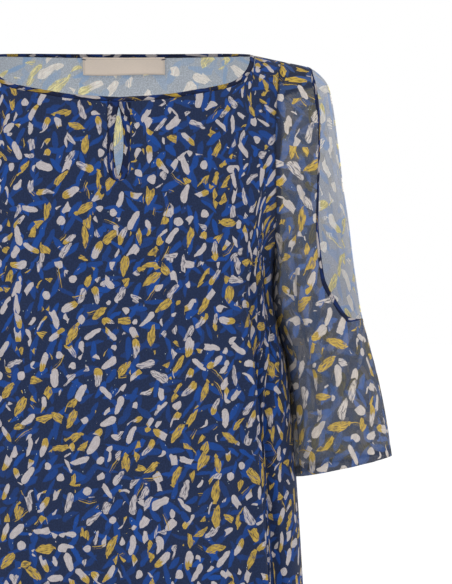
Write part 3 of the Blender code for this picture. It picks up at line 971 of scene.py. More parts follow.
@dataclass(frozen=True)
class BodyForm:
    """The body's form: level sections, the armholes and the neckline."""

    roundness: float = 2.6
    shoulder_tip: tuple[float, float] = (0.159, -0.0035)
    neck_point: tuple[float, float] = (0.1333, 0.0020)
    shoulder_roll: float = 0.100
    underarm: tuple[float, float] = (0.152, -0.205)
    hem_height: float = -0.630
    sections: tuple[BodySection, ...] = (
        BodySection(0.030, 0.186, 0.088, 0.086),
        BodySection(-0.045, 0.183, 0.093, 0.091),
        BodySection(-0.105, 0.176, 0.105, 0.098),
        BodySection(-0.150, 0.167, 0.112, 0.101),
        BodySection(-0.185, 0.157, 0.116, 0.101),
        BodySection(-0.205, 0.152, 0.117, 0.100),
        BodySection(-0.235, 0.151, 0.117, 0.098),
        BodySection(-0.275, 0.157, 0.116, 0.096),
        BodySection(-0.310, 0.165, 0.115, 0.095),
        BodySection(-0.374, 0.171, 0.114, 0.096),
        BodySection(-0.526, 0.181, 0.116, 0.101),
        BodySection(-0.630, 0.186, 0.119, 0.106),
    )
    armhole: tuple[ArmholePoint, ...] = (
        ArmholePoint(-0.0035, 0.1590),
        ArmholePoint(-0.030, 0.1555),
        ArmholePoint(-0.090, 0.1525),
        ArmholePoint(-0.165, 0.1530),
        ArmholePoint(-0.205, 0.1520),
    )
    neckline: tuple[NeckPoint, ...] = (
        NeckPoint(0.0000, -0.0493, 0.0045),
        NeckPoint(0.0455, -0.0461, 0.0043),
        NeckPoint(0.0805, -0.0400, 0.0040),
        NeckPoint(0.1015, -0.0355, 0.0036),
        NeckPoint(0.1115, -0.0322, 0.0033),
        NeckPoint(0.1205, -0.0265, 0.0030),
        NeckPoint(0.1278, -0.0178, 0.0026),
        NeckPoint(0.1320, -0.0080, 0.0022),
        NeckPoint(0.1333, 0.0020, 0.0020),
    )

    def half_width(self, z: Array | float) -> Array:
        """Half the body's width at a height."""
        return smooth_through(column(self.sections, "height"), column(self.sections, "half_width"), z)

    def shoulder_height(self, x: Array) -> Array:
        """The height where front and back meet: the shoulder seams, bridged over the neck."""
        slope = (self.neck_point[1] - self.shoulder_tip[1]) / (self.shoulder_tip[0] - self.neck_point[0])
        across = np.abs(x) / self.neck_point[0]
        bridge = slope * self.neck_point[0] / 2 * (1 - across**2) * (2 - across**2)
        fall = slope * self.neck_point[0] * (1 - across)
        return self.neck_point[1] + np.where(across < 1, bridge, fall)

    def depth(self, x: Array, z: Array, face: Face) -> Array:
        """How far the cloth stands off the shoulder line, forward or back."""
        depths = column(self.sections, face.word + "_depth")
        depth = smooth_through(column(self.sections, "height"), depths, z)
        across = np.clip(np.abs(x) / self.half_width(z), 0, 1)
        turn = np.clip((self.shoulder_height(x) - z) / self.shoulder_roll, 0, 1)
        oval = (1 - across**self.roundness) ** (1 / self.roundness)
        return depth * oval * np.sqrt(1 - (1 - turn) ** 2)

    def point(self, x: Array, z: Array, face: Face) -> Array:
        """Points of the front or back."""
        depth = np.maximum(self.depth(x, z, face), SEAM_GAP / 2)
        return np.stack([x, face.value * depth, z], axis=-1)

    def armhole_across(self, z: Array | float) -> Array:
        """How far out the armhole seam lies at a height."""
        return smooth_through(column(self.armhole, "height"), column(self.armhole, "across"), z)

    def top_height(self, x: Array, face: Face) -> Array:
        """The panel's upper edge: the neckline, then the shoulder seam."""
        heights = column(self.neckline, face.word + "_height")
        neck = smooth_through(column(self.neckline, "across"), heights,
                              np.minimum(x, self.neck_point[0]))
        return np.where(x < self.neck_point[0], neck, self.shoulder_height(x))


BODY = BodyForm()


@dataclass(frozen=True)
class BodyFold:
    """A soft fold down the body; its place and width are shares of the half width."""

    side: int
    at_top: float
    at_hem: float
    start_height: float
    full_height: float
    depth: float
    width: float


@dataclass(frozen=True)
class Pleat:
    """One narrow pleat of the bundle beside the underarm: its place off the bundle's middle."""

    offset: float
    depth: float
    width: float


@dataclass(frozen=True)
class Crease:
    """A short soft crease on the front or back, from one point to another, in metres."""

    start: tuple[float, float]
    end: tuple[float, float]
    depth: float
    width: float
    bow: float = 0.0


FRONT_FOLDS = (
    BodyFold(0, 0.86, 0.88, -0.190, -0.320, 0.0100, 0.045),
    BodyFold(0, 0.77, 0.79, -0.200, -0.330, -0.0035, 0.045),
    BodyFold(0, 0.69, 0.72, -0.200, -0.330, 0.0042, 0.045),
    BodyFold(1, 0.42, 0.50, -0.240, -0.480, 0.0045, 0.080),
    BodyFold(-1, 0.36, 0.45, -0.260, -0.520, 0.0040, 0.090),
    BodyFold(1, 0.18, 0.22, -0.300, -0.560, -0.0040, 0.100),
    BodyFold(-1, 0.10, 0.12, -0.320, -0.560, -0.0030, 0.090),
)
BACK_FOLDS = (
    BodyFold(0, 0.85, 0.86, -0.190, -0.330, 0.0085, 0.050),
    BodyFold(0, 0.74, 0.76, -0.200, -0.330, -0.0035, 0.050),
    BodyFold(1, 0.56, 0.60, -0.210, -0.420, 0.0050, 0.070),
    BodyFold(-1, 0.50, 0.55, -0.230, -0.440, 0.0055, 0.070),
    BodyFold(0, 0.22, 0.26, -0.180, -0.460, 0.0050, 0.090),
    BodyFold(0, 0.02, 0.02, -0.200, -0.500, -0.0040, 0.090),
)
BUNDLE_HEIGHTS = np.array([-0.172, -0.235, -0.275, -0.342, -0.420, -0.526, -0.630])
BUNDLE_ACROSS = np.array([0.1394, 0.1425, 0.1452, 0.1450, 0.1505, 0.1575, 0.1630])
SIDE_PLEATS = (
    Pleat(-0.0112, 0.0030, 0.0018),
    Pleat(-0.0070, 0.0050, 0.0017),
    Pleat(-0.0028, 0.0064, 0.0017),
    Pleat(0.0013, 0.0066, 0.0016),
    Pleat(0.0053, 0.0056, 0.0016),
)
FRONT_CREASES = (
    Crease((0.148, -0.120), (0.104, -0.230), 0.0022, 0.0070, 0.006),
    Crease((-0.147, -0.115), (-0.100, -0.215), 0.0022, 0.0075, -0.006),
    Crease((0.150, -0.160), (0.118, -0.262), 0.0020, 0.0055, 0.004),
    Crease((-0.150, -0.155), (-0.120, -0.270), 0.0020, 0.0060, -0.004),
    Crease((0.120, -0.040), (0.060, -0.075), 0.0012, 0.0080, -0.008),
    Crease((-0.118, -0.042), (-0.050, -0.078), 0.0013, 0.0085, 0.008),
    Crease((0.006, -0.122), (0.020, -0.240), 0.0012, 0.0080, 0.004),
    Crease((-0.008, -0.124), (-0.030, -0.225), 0.0011, 0.0085, -0.004),
    Crease((0.060, -0.300), (0.050, -0.430), 0.0018, 0.0100, 0.005),
    Crease((-0.080, -0.280), (-0.095, -0.450), 0.0020, 0.0110, -0.006),
    Crease((0.100, -0.400), (0.108, -0.560), 0.0018, 0.0090, 0.004),
    Crease((-0.040, -0.430), (-0.030, -0.600), 0.0016, 0.0110, 0.004),
    Crease((0.010, -0.480), (0.004, -0.620), 0.0016, 0.0120, -0.003),
)
BACK_CREASES = (
    Crease((0.147, -0.110), (0.095, -0.190), 0.0026, 0.0080, 0.008),
    Crease((-0.148, -0.115), (-0.090, -0.200), 0.0026, 0.0080, -0.008),
    Crease((0.150, -0.160), (0.112, -0.270), 0.0022, 0.0065, 0.005),
    Crease((-0.150, -0.158), (-0.115, -0.262), 0.0022, 0.0065, -0.005),
    Crease((0.100, -0.020), (0.070, -0.110), 0.0014, 0.0090, 0.004),
    Crease((-0.096, -0.022), (-0.060, -0.120), 0.0014, 0.0090, -0.004),
    Crease((0.030, -0.130), (0.040, -0.300), 0.0020, 0.0110, 0.006),
    Crease((-0.045, -0.150), (-0.038, -0.330), 0.0022, 0.0110, -0.005),
    Crease((0.085, -0.330), (0.095, -0.520), 0.0022, 0.0110, -0.006),
    Crease((-0.070, -0.360), (-0.078, -0.560), 0.0020, 0.0110, 0.005),
)


@dataclass
class Panel:
    """The front or the back, from the neck and shoulders to the hem."""

    face: Face
    folds: Sequence[BodyFold]
    creases: Sequence[Crease]
    flat_cut: tuple[float, float]
    flat_area: float
    half_columns: int = 148
    upper_rows: int = 62
    lower_rows: int = 92
    row_spread: float = 1.25
    tied_rows: int = 12
    fine_steps: int = 1200
    hem_width: float = 0.012
    pleat_sides: tuple[float, float] = (0.965, 1.0)
    fold_sides: tuple[float, float] = (0.93, 1.0)
    pleat_heights: tuple[float, float] = (0.165, 0.225)
    gather_spread: float = 0.0052
    gather_fullness: float = 0.072
    gather_heights: tuple[float, float] = (0.105, 0.200)
    pattern_lines: int = 44
    pattern_rounds: int = 2400
    pattern_ease: float = 1.15
    seam_mark: float = 0.0013
    hem_mark: float = 0.0007
    shoulder_start: float = 0.1345
    neck_column: int = 0

    def shares(self) -> Array:
        """The columns' shares of the half panel's width, closest where the pleats gather."""
        t = np.linspace(0, 1, 2001)
        density = 1 + 4.5 * np.exp(-(((t - 0.69) / 0.09) ** 2)) + 1.2 * np.exp(-((t / 0.06) ** 2))
        density += 1.3 * np.exp(-(((t - 0.88) / 0.07) ** 2))
        reached = np.concatenate([[0], np.cumsum((density[1:] + density[:-1]) / 2)])
        return np.interp(np.linspace(0, 1, self.half_columns + 1), reached / reached[-1], t)

    def half(self, side: Side) -> tuple[Array, Array]:
        """The points of one half, without the keyhole.

        Args:
            side: which half.

        Returns:
            Rows from the neck to the hem, columns from the centre out; and the left side's
            same points before any fold.
        """
        shares = self.shares()
        fine = np.sin(np.linspace(0, math.pi / 2, self.fine_steps)) ** (2 / BODY.roundness)
        neck_share = BODY.neck_point[0] / BODY.shoulder_tip[0]
        neck_place = int(np.searchsorted(fine, neck_share))
        fine = np.insert(fine, neck_place, neck_share)
        tip_x, tip_z = BODY.shoulder_tip
        low = BODY.underarm[1]
        top = BODY.top_height(fine * tip_x, self.face)
        top_line = BODY.point(fine * tip_x, top, self.face)
        reach = np.concatenate([[0], np.cumsum(np.linalg.norm(np.diff(top_line, axis=0), axis=1))])
        self.neck_column = int(np.argmin(np.abs(shares - reach[neck_place] / reach[-1])))
        rows = []
        for row in range(self.upper_rows + 1):
            drop = (1 - math.cos(math.pi * row / self.upper_rows)) / 2
            across = BODY.armhole_across(tip_z + (low - tip_z) * drop)
            line = BODY.point(fine * across, top + (low - top) * drop, self.face)
            tied = float(1 - fade(row, 0, self.tied_rows))
            rows.append(spread_along(line, shares, shares[self.neck_column], neck_place, tied))
        for row in range(1, self.lower_rows + 1):
            z = low + (BODY.hem_height - low) * (row / self.lower_rows) ** self.row_spread
            line = BODY.point(fine * BODY.half_width(z), np.full(len(fine), z), self.face)
            rows.append(spread_along(line, shares))
        points = np.array(rows)
        outward = grid_normals(points)
        outward *= np.sign(outward[..., 1:2]) * self.face.value
        relief = self.relief(points, side)[..., None]
        return (points + outward * relief) * (side.value, 1, 1), points

    def pattern(self, form: Array) -> Array:
        """The half panel laid flat, with the cloth that the bundle of pleats takes up.

        Args:
            form: the left half's points before any fold.

        Returns:
            The flat place of each point.
        """
        z = form[..., 2]
        drawn = z - z[:, :1] + z[0, 0] - lengths_along(form, 0)[:, :1]
        guess = np.stack([lengths_along(form, 1) * self.pattern_ease, drawn], axis=-1)
        flat = laid_flat(form, guess, self.pattern_lines, self.pattern_rounds, on_fold=True)
        off = form[..., 0] - bundle_across(z)
        taken = self.gather_fullness * (1 + np.tanh(off / self.gather_spread)) / 2
        flat[..., 0] += taken * fade(-z, *self.gather_heights)
        return flat

    def relief(self, points: Array, side: Side) -> Array:
        """How far the folds, pleats and creases lift the cloth off its form.

        Args:
            points: the form's points, on the left side.
            side: which half they will be.

        Returns:
            The height at each point; a trough is below 0.
        """
        x, z = points[..., 0], points[..., 2]
        across = x / BODY.half_width(z)
        down = np.clip((BODY.underarm[1] - z) / (BODY.underarm[1] - BODY.hem_height), 0, 1)
        deep = np.zeros(x.shape)
        for fold in self.folds:
            if fold.side in (0, side.value):
                place = fold.at_top + (fold.at_hem - fold.at_top) * down
                shape = np.exp(-(((across - place) / fold.width) ** 2))
                deep += fold.depth * shape * fade(-z, -fold.start_height, -fold.full_height)
        deep *= 1 - fade(across, *self.fold_sides)
        reached = fade(-z, *self.pleat_heights) * (1 - fade(across, *self.pleat_sides))
        for pleat in SIDE_PLEATS:
            bend = side.value * 0.0009 * np.sin(z * 23 + 400 * pleat.offset)
            off = (x - bundle_across(z) - pleat.offset - bend) / pleat.width
            deep += pleat.depth * np.exp(-(off**2)) * reached
        for crease in self.creases:
            deep += crease_depth(x * side.value, z, crease)
        seed = 11 if self.face is Face.FRONT else 12
        soft = ripples(x * side.value, z, seed, 9, 0.030) * 0.00045
        return soft * fade(-z, 0.02, 0.12) * (1 - fade(across, 0.9, 1.0)) - deep

    def make(self, finishes: Finishes) -> tuple[bpy.types.Object, list[Array], list[Array]]:
        """Builds the panel.

        Args:
            finishes: the materials.

        Returns:
            The piece, and the points and normals of its left and right halves.
        """
        halves, forms = map(list, zip(*(self.half(side) for side in Side)))
        pattern = self.pattern(forms[0])
        centre = (halves[0][:, 0] + halves[1][:, 0]) / 2
        rows, columns = halves[0].shape[:2]
        shared = np.ones(rows, bool)
        points, flats, indices, frees, seams = [], [], [], [], []
        for number, (half, side) in enumerate(zip(halves, Side)):
            half[:, 0] = centre
            if self.face is Face.FRONT:
                shared = ~KEYHOLE.part_cloth(half, side)
            down = lengths_along(half, 0)
            free = np.ones(half.shape)
            free[0, self.neck_column:, 1] = 0
            free[self.upper_rows:, -1, 1] = 0
            to_side = lengths_along(half[:, ::-1], 1)[:, ::-1]
            seam = np.exp(-((to_side / self.seam_mark) ** 2))
            on_shoulder = half[..., 0] * side.value > self.shoulder_start
            seam = np.maximum(seam, np.exp(-((down / self.seam_mark) ** 2)) * on_shoulder)
            to_hem = lengths_along(half[::-1], 0)[::-1]
            seam = np.maximum(seam, 0.8 * np.exp(-(((to_hem - self.hem_width) / self.hem_mark) ** 2)))
            indices.append(number * rows * columns + np.arange(rows * columns).reshape(rows, columns))
            points.append(half.reshape(-1, 3))
            flats.append(pattern.reshape(-1, 2) * (side.value, 1))
            frees.append(free.reshape(-1, 3))
            seams.append(seam.ravel())
        indices[1][shared, 0] = indices[0][shared, 0]
        faces = np.concatenate([grid_faces(index) for index in (indices[0], indices[1][:, ::-1])])
        flat = np.concatenate(flats) + (0.0, 0.35 * (self.face is Face.BACK))
        used, inverse = np.unique(faces, return_inverse=True)
        every = np.concatenate(points)
        cloth = Cloth(every[used], inverse.reshape(faces.shape), flat[used],
                      np.array([0, self.face.value, 0]), {"seam": np.concatenate(seams)[used]},
                      np.concatenate(frees)[used])
        normals = np.zeros(every.shape)
        normals[used] = cloth.normals()
        piece = cloth.shell("cloth_" + self.face.word, [finishes.dark, finishes.pale])
        settle(piece, "printed_chiffon", self.face.word)
        return piece, halves, [normals[index] for index in indices]


def bundle_across(z: Array) -> Array:
    """How far out the bundle of pleats runs at a height."""
    return smooth_through(BUNDLE_HEIGHTS, BUNDLE_ACROSS, z)


def crease_depth(x: Array, z: Array, crease: Crease) -> Array:
    """How deep one crease presses the cloth in, with a low ridge on each side.

    Args:
        x: places across, in metres.
        z: heights.
        crease: the crease.

    Returns:
        The depth at each place.
    """
    start, end = np.array(crease.start), np.array(crease.end)
    span = end - start
    length = float(np.linalg.norm(span))
    ahead = span / length
    along = ((x - start[0]) * ahead[0] + (z - start[1]) * ahead[1]) / length
    off = (z - start[1]) * ahead[0] - (x - start[0]) * ahead[1]
    off = (off - crease.bow * 4 * along * (1 - along)) / crease.width
    swell = np.sin(math.pi * np.clip(along, 0, 1)) ** 1.5
    return crease.depth * swell * (1 - 0.8 * off**2) * np.exp(-(off**2))


@dataclass(frozen=True)
class Keyhole:
    """The small lens-shaped opening at the front neck, and the band round it."""

    top: float = -0.0540
    end: float = -0.1215
    half_width: float = 0.0048
    lowness: float = 1.15
    bluntness: float = 0.75
    drawn_from: float = 0.018
    band_reach: float = 0.0110
    band_tail: float = 0.0045
    band_thickness: float = 0.0005
    rows: int = 70
    columns: int = 8

    def width_at(self, z: Array) -> Array:
        """Half the opening's width at a height."""
        share = np.clip((self.top - z) / (self.top - self.end), 0, 1)
        return self.half_width * np.maximum(np.sin(math.pi * share**self.lowness), 0) ** self.bluntness

    def part_cloth(self, half: Array, side: Side) -> Array:
        """Draws a half panel's columns away from the centre beside the opening.

        Args:
            half: the half panel's points, changed in place.
            side: which half it is.

        Returns:
            For each row, whether its centre column has parted.
        """
        width = self.width_at(half[..., 2])
        width[width < SEAM_GAP] = 0
        before = BODY.depth(half[..., 0], half[..., 2], Face.FRONT)
        x = half[..., 0] * side.value
        half[..., 0] += side.value * width * np.clip(1 - x / self.drawn_from, 0, 1)
        depth = BODY.depth(half[..., 0], half[..., 2], Face.FRONT)
        half[..., 1] -= np.where(width > 0, depth - before, 0)
        opened = (half[:, 0, 2] < self.top) & (half[:, 0, 2] > self.end)
        half[~opened, 0, 0] = 0
        return opened

    def make_band(self, finishes: Finishes, neckline: float) -> bpy.types.Object:
        """The flat band sewn round the opening, whose straight sides meet in a rounded tail.

        Args:
            finishes: the materials.
            neckline: the height of the neckline at the centre, where the band starts.

        Returns:
            The piece.
        """
        drops = np.linspace(0, 1, self.rows) ** 0.9
        heights = neckline + (self.end - neckline) * drops
        inner = np.maximum(self.width_at(heights), SEAM_GAP)
        tail = np.clip((drops - 0.8) / 0.2, 0, 1)
        outer = self.band_reach * np.sqrt(1 - 0.75 * tail**2)
        lowered = heights - self.band_tail * tail
        right = np.stack([inner, heights, outer, lowered], axis=1).reshape(-1, 2, 2)[:-1]
        foot = np.array([[(0.0, self.end - 0.0006), (0.0, self.end - self.band_tail * 1.35)]])
        ring = np.concatenate([right, foot, (right * (-1, 1))[::-1]])
        across = np.linspace(0, 1, self.columns)[None, :, None]
        grid = ring[:, :1] + (ring[:, 1:] - ring[:, :1]) * across
        points = BODY.point(grid[..., 0], grid[..., 1], Face.FRONT)
        flat = np.stack([lengths_along(points, 0) + 0.7, lengths_along(points, 1)], axis=-1)
        edge = np.minimum(across, 1 - across)[..., 0] * np.ones(len(ring))[:, None]
        cloth = Cloth(points.reshape(-1, 3), grid_faces(np.arange(edge.size).reshape(edge.shape)),
                      flat.reshape(-1, 2), np.array([0, -1, 0]),
                      {"seam": np.exp(-((edge / 0.12) ** 2)).ravel()})
        piece = cloth.shell("trim_keyhole_band", [finishes.trim, finishes.trim],
                            thickness=self.band_thickness, raised=0.0001 + self.band_thickness)
        return settle(piece, "self_trim", "keyhole_band")


KEYHOLE = Keyhole()


@dataclass(frozen=True)
class NeckBinding:
    """One narrow folded band all round the neck, standing on the panels' upper edges."""

    width: float = 0.0050
    thickness: float = 0.0014
    proud: float = 0.0004
    corner: float = 0.55
    around: int = 20

    def section(self) -> tuple[Array, Array]:
        """The band's rounded cross-section: how far up each point is, and how far out."""
        turn = np.linspace(0, 2 * math.pi, self.around, endpoint=False)
        up = np.sign(np.cos(turn)) * np.abs(np.cos(turn)) ** self.corner
        out = np.sign(np.sin(turn)) * np.abs(np.sin(turn)) ** self.corner
        return (up + 1) / 2 * self.width, out * self.thickness / 2 + self.proud - self.thickness / 2

    def make(self, finishes: Finishes, panels: Mapping[Face, tuple[list[Array], list[Array]]],
             neck_columns: Mapping[Face, int]) -> bpy.types.Object:
        """Builds the band.

        Args:
            finishes: the materials.
            panels: the points and normals of each panel's halves.
            neck_columns: each panel's column at the neck point.

        Returns:
            The piece.
        """
        line, normal = (self.once_round(panels, neck_columns, which) for which in (0, 1))
        line[:, 1] = np.where(np.abs(line[:, 1]) < SEAM_GAP, 0, line[:, 1])
        ahead = unit(np.roll(line, -1, axis=0) - np.roll(line, 1, axis=0))
        inward = unit(np.cross(normal, ahead))
        inward *= -np.sign(np.sum(inward * (line - line.mean(axis=0)), axis=1, keepdims=True))
        for _ in range(6):
            inward = unit(inward + np.roll(inward, 1, axis=0) + np.roll(inward, -1, axis=0))
        up, out = self.section()
        rings = line[:, None] + inward[:, None] * up[None, :, None] + normal[:, None] * out[None, :, None]
        length = np.concatenate([[0], np.cumsum(np.linalg.norm(np.diff(line, axis=0), axis=1))])
        flat = np.stack(np.broadcast_arrays(length[:, None] + 1.3, up[None, :]), axis=-1)
        edge, stitched = (up - 0.0007) / 0.0006, (up - self.width) / 0.0008
        groove = np.exp(-(edge**2)) + 0.6 * np.exp(-(stitched**2))
        seam = np.broadcast_to(groove, rings.shape[:2])
        piece = tube("trim_neck_binding", rings, flat, finishes.trim, True, {"seam": seam})
        return settle(piece, "self_trim", "neck_binding")

    def once_round(self, panels: Mapping[Face, tuple[list[Array], list[Array]]],
                   neck_columns: Mapping[Face, int], which: int) -> Array:
        """The panels' upper edges joined from the right neck point by the front and back."""
        rows = {}
        for face in Face:
            left, right = (half[0, : neck_columns[face] + 1] for half in panels[face][which])
            rows[face] = (left, right)
        front_left, front_right = rows[Face.FRONT]
        back_left, back_right = rows[Face.BACK]
        order = (front_right[::-1], front_left[1:-1], back_left[::-1], back_right[1:-1])
        return np.concatenate(order).copy()


@dataclass(frozen=True)
class SleeveSection:
    """One section of the sleeve, from the overarm (outer) to the underarm (inner)."""

    outer_x: float
    outer_z: float
    inner_x: float
    inner_z: float
    half_depth: float


@dataclass(frozen=True)
class SlitPoint:
    """The slit's two edges, in degrees from the overarm."""

    station: float
    front_angle: float
    back_angle: float


@dataclass(frozen=True)
class SleeveFold:
    """A fold of the sleeve: its angle at each end, and the stations it runs between."""

    angle_top: float
    angle_end: float
    start: float
    end: float
    depth: float
    width: float


@dataclass(frozen=True)
class SleeveForm:
    """The left sleeve's form."""

    cap_stations: float = 3.0
    sections: tuple[SleeveSection, ...] = (
        SleeveSection(0.1590, -0.0035, 0.1520, -0.2050, 0.0660),
        SleeveSection(0.1905, -0.0110, 0.1514, -0.2105, 0.0675),
        SleeveSection(0.2075, -0.0300, 0.1508, -0.2165, 0.0680),
        SleeveSection(0.2122, -0.0580, 0.1500, -0.2230, 0.0680),
        SleeveSection(0.2165, -0.0885, 0.1490, -0.2310, 0.0675),
        SleeveSection(0.2215, -0.1270, 0.1485, -0.2410, 0.0665),
        SleeveSection(0.2275, -0.1680, 0.1498, -0.2540, 0.0655),
        SleeveSection(0.2335, -0.2175, 0.1559, -0.2750, 0.0640),
        SleeveSection(0.2400, -0.2580, 0.1622, -0.3020, 0.0625),
        SleeveSection(0.2475, -0.2860, 0.1656, -0.3300, 0.0615),
        SleeveSection(0.2580, -0.3275, 0.1688, -0.3625, 0.0605),
        SleeveSection(0.2655, -0.3650, 0.1706, -0.3930, 0.0600),
        SleeveSection(0.2701, -0.3968, 0.1722, -0.4180, 0.0600),
    )
    slit: tuple[SlitPoint, ...] = (
        SlitPoint(0.90, 0, 0),
        SlitPoint(1.08, 20, 1),
        SlitPoint(1.30, 29, 2),
        SlitPoint(1.75, 45, 3),
        SlitPoint(2.40, 57, 4),
        SlitPoint(3.50, 65, 5),
        SlitPoint(5.40, 76, 5),
        SlitPoint(6.50, 77, 5),
        SlitPoint(7.10, 67, 5),
        SlitPoint(7.65, 55, 4),
        SlitPoint(7.92, 40, 3),
        SlitPoint(8.04, 20, 1),
        SlitPoint(8.10, 0, 0),
    )

    def armhole_loop(self, angle: Array) -> Array:
        """The armhole's outline at an angle from the shoulder, positive towards the front."""
        top, low = BODY.shoulder_tip[1], BODY.underarm[1]
        z = (top + low) / 2 + (top - low) / 2 * np.cos(angle)
        x = BODY.armhole_across(z)
        front, back = BODY.depth(x, z, Face.FRONT), BODY.depth(x, z, Face.BACK)
        return np.stack([x - 0.0004, -np.sign(angle) * np.where(angle > 0, front, back), z], axis=-1)

    def oval(self, station: Array, angle: Array) -> Array:
        """A point of the sleeve's plain oval section."""
        places = np.arange(len(self.sections), dtype=float)
        names = ("outer_x", "outer_z", "inner_x", "inner_z", "half_depth")
        outer_x, outer_z, inner_x, inner_z, depth = (
            smooth_through(places, column(self.sections, name), station) for name in names)
        cos = np.cos(angle)
        x = (outer_x + inner_x) / 2 + (outer_x - inner_x) / 2 * cos
        z = (outer_z + inner_z) / 2 + (outer_z - inner_z) / 2 * cos
        return np.stack([x, -depth * np.sin(angle), z], axis=-1)

    def point(self, station: Array, angle: Array) -> Array:
        """A point of the sleeve: station counts the sections down it, angle is in radians."""
        start = self.oval(np.zeros(np.shape(station)), angle)
        share = fade(station, 0, self.cap_stations)[..., None]
        return self.oval(station, angle) + (self.armhole_loop(angle) - start) * (1 - share)

    def slit_angle(self, station: Array, face: Face) -> Array:
        """The slit edge's angle, 0 above and below the slit."""
        places = column(self.slit, "station")
        angle = smooth_through(places, column(self.slit, face.word + "_angle"), station)
        inside = (station > places[0]) & (station < places[-1])
        return np.radians(np.where(inside, angle, 0))


SLEEVE = SleeveForm()
SLEEVE_FOLDS = {
    Face.FRONT: (
        SleeveFold(108, 128, 1.0, 9.0, 0.0040, 9),
        SleeveFold(88, 100, 2.0, 12.0, 0.0030, 8),
        SleeveFold(138, 112, 4.0, 12.0, 0.0045, 10),
        SleeveFold(72, 92, 0.5, 4.2, 0.0016, 2.6),
        SleeveFold(84, 99, 0.4, 5.6, 0.0020, 2.4),
        SleeveFold(96, 106, 0.5, 6.2, 0.0018, 2.6),
        SleeveFold(112, 118, 0.6, 7.0, 0.0020, 3.0),
        SleeveFold(126, 130, 0.8, 8.0, 0.0018, 3.2),
        SleeveFold(94, 104, 4.5, 9.5, 0.0016, 3.0),
        SleeveFold(8, 14, 7.9, 11.4, 0.0022, 3.2),
        SleeveFold(150, 140, 5.0, 11.0, 0.0024, 5.0),
        SleeveFold(164, 158, 7.0, 12.0, 0.0030, 5.0),
        SleeveFold(40, 48, 8.6, 12.0, 0.0012, 6.0),
        SleeveFold(68, 72, 9.2, 12.0, 0.0012, 6.0),
    ),
    Face.BACK: (
        SleeveFold(50, 62, 1.5, 8.0, 0.0035, 10),
        SleeveFold(96, 110, 1.0, 10.0, 0.0045, 10),
        SleeveFold(140, 118, 3.0, 12.0, 0.0045, 10),
        SleeveFold(24, 26, 0.8, 6.5, 0.0022, 3.0),
        SleeveFold(38, 42, 1.2, 7.5, 0.0020, 3.2),
        SleeveFold(74, 80, 0.5, 6.0, 0.0022, 3.2),
        SleeveFold(112, 116, 0.6, 7.0, 0.0022, 3.4),
        SleeveFold(128, 134, 0.8, 8.0, 0.0022, 3.6),
        SleeveFold(14, 18, 7.0, 11.0, 0.0018, 3.4),
        SleeveFold(160, 150, 6.0, 12.0, 0.0026, 5.0),
        SleeveFold(60, 66, 8.6, 12.0, 0.0014, 7.0),
    ),
}


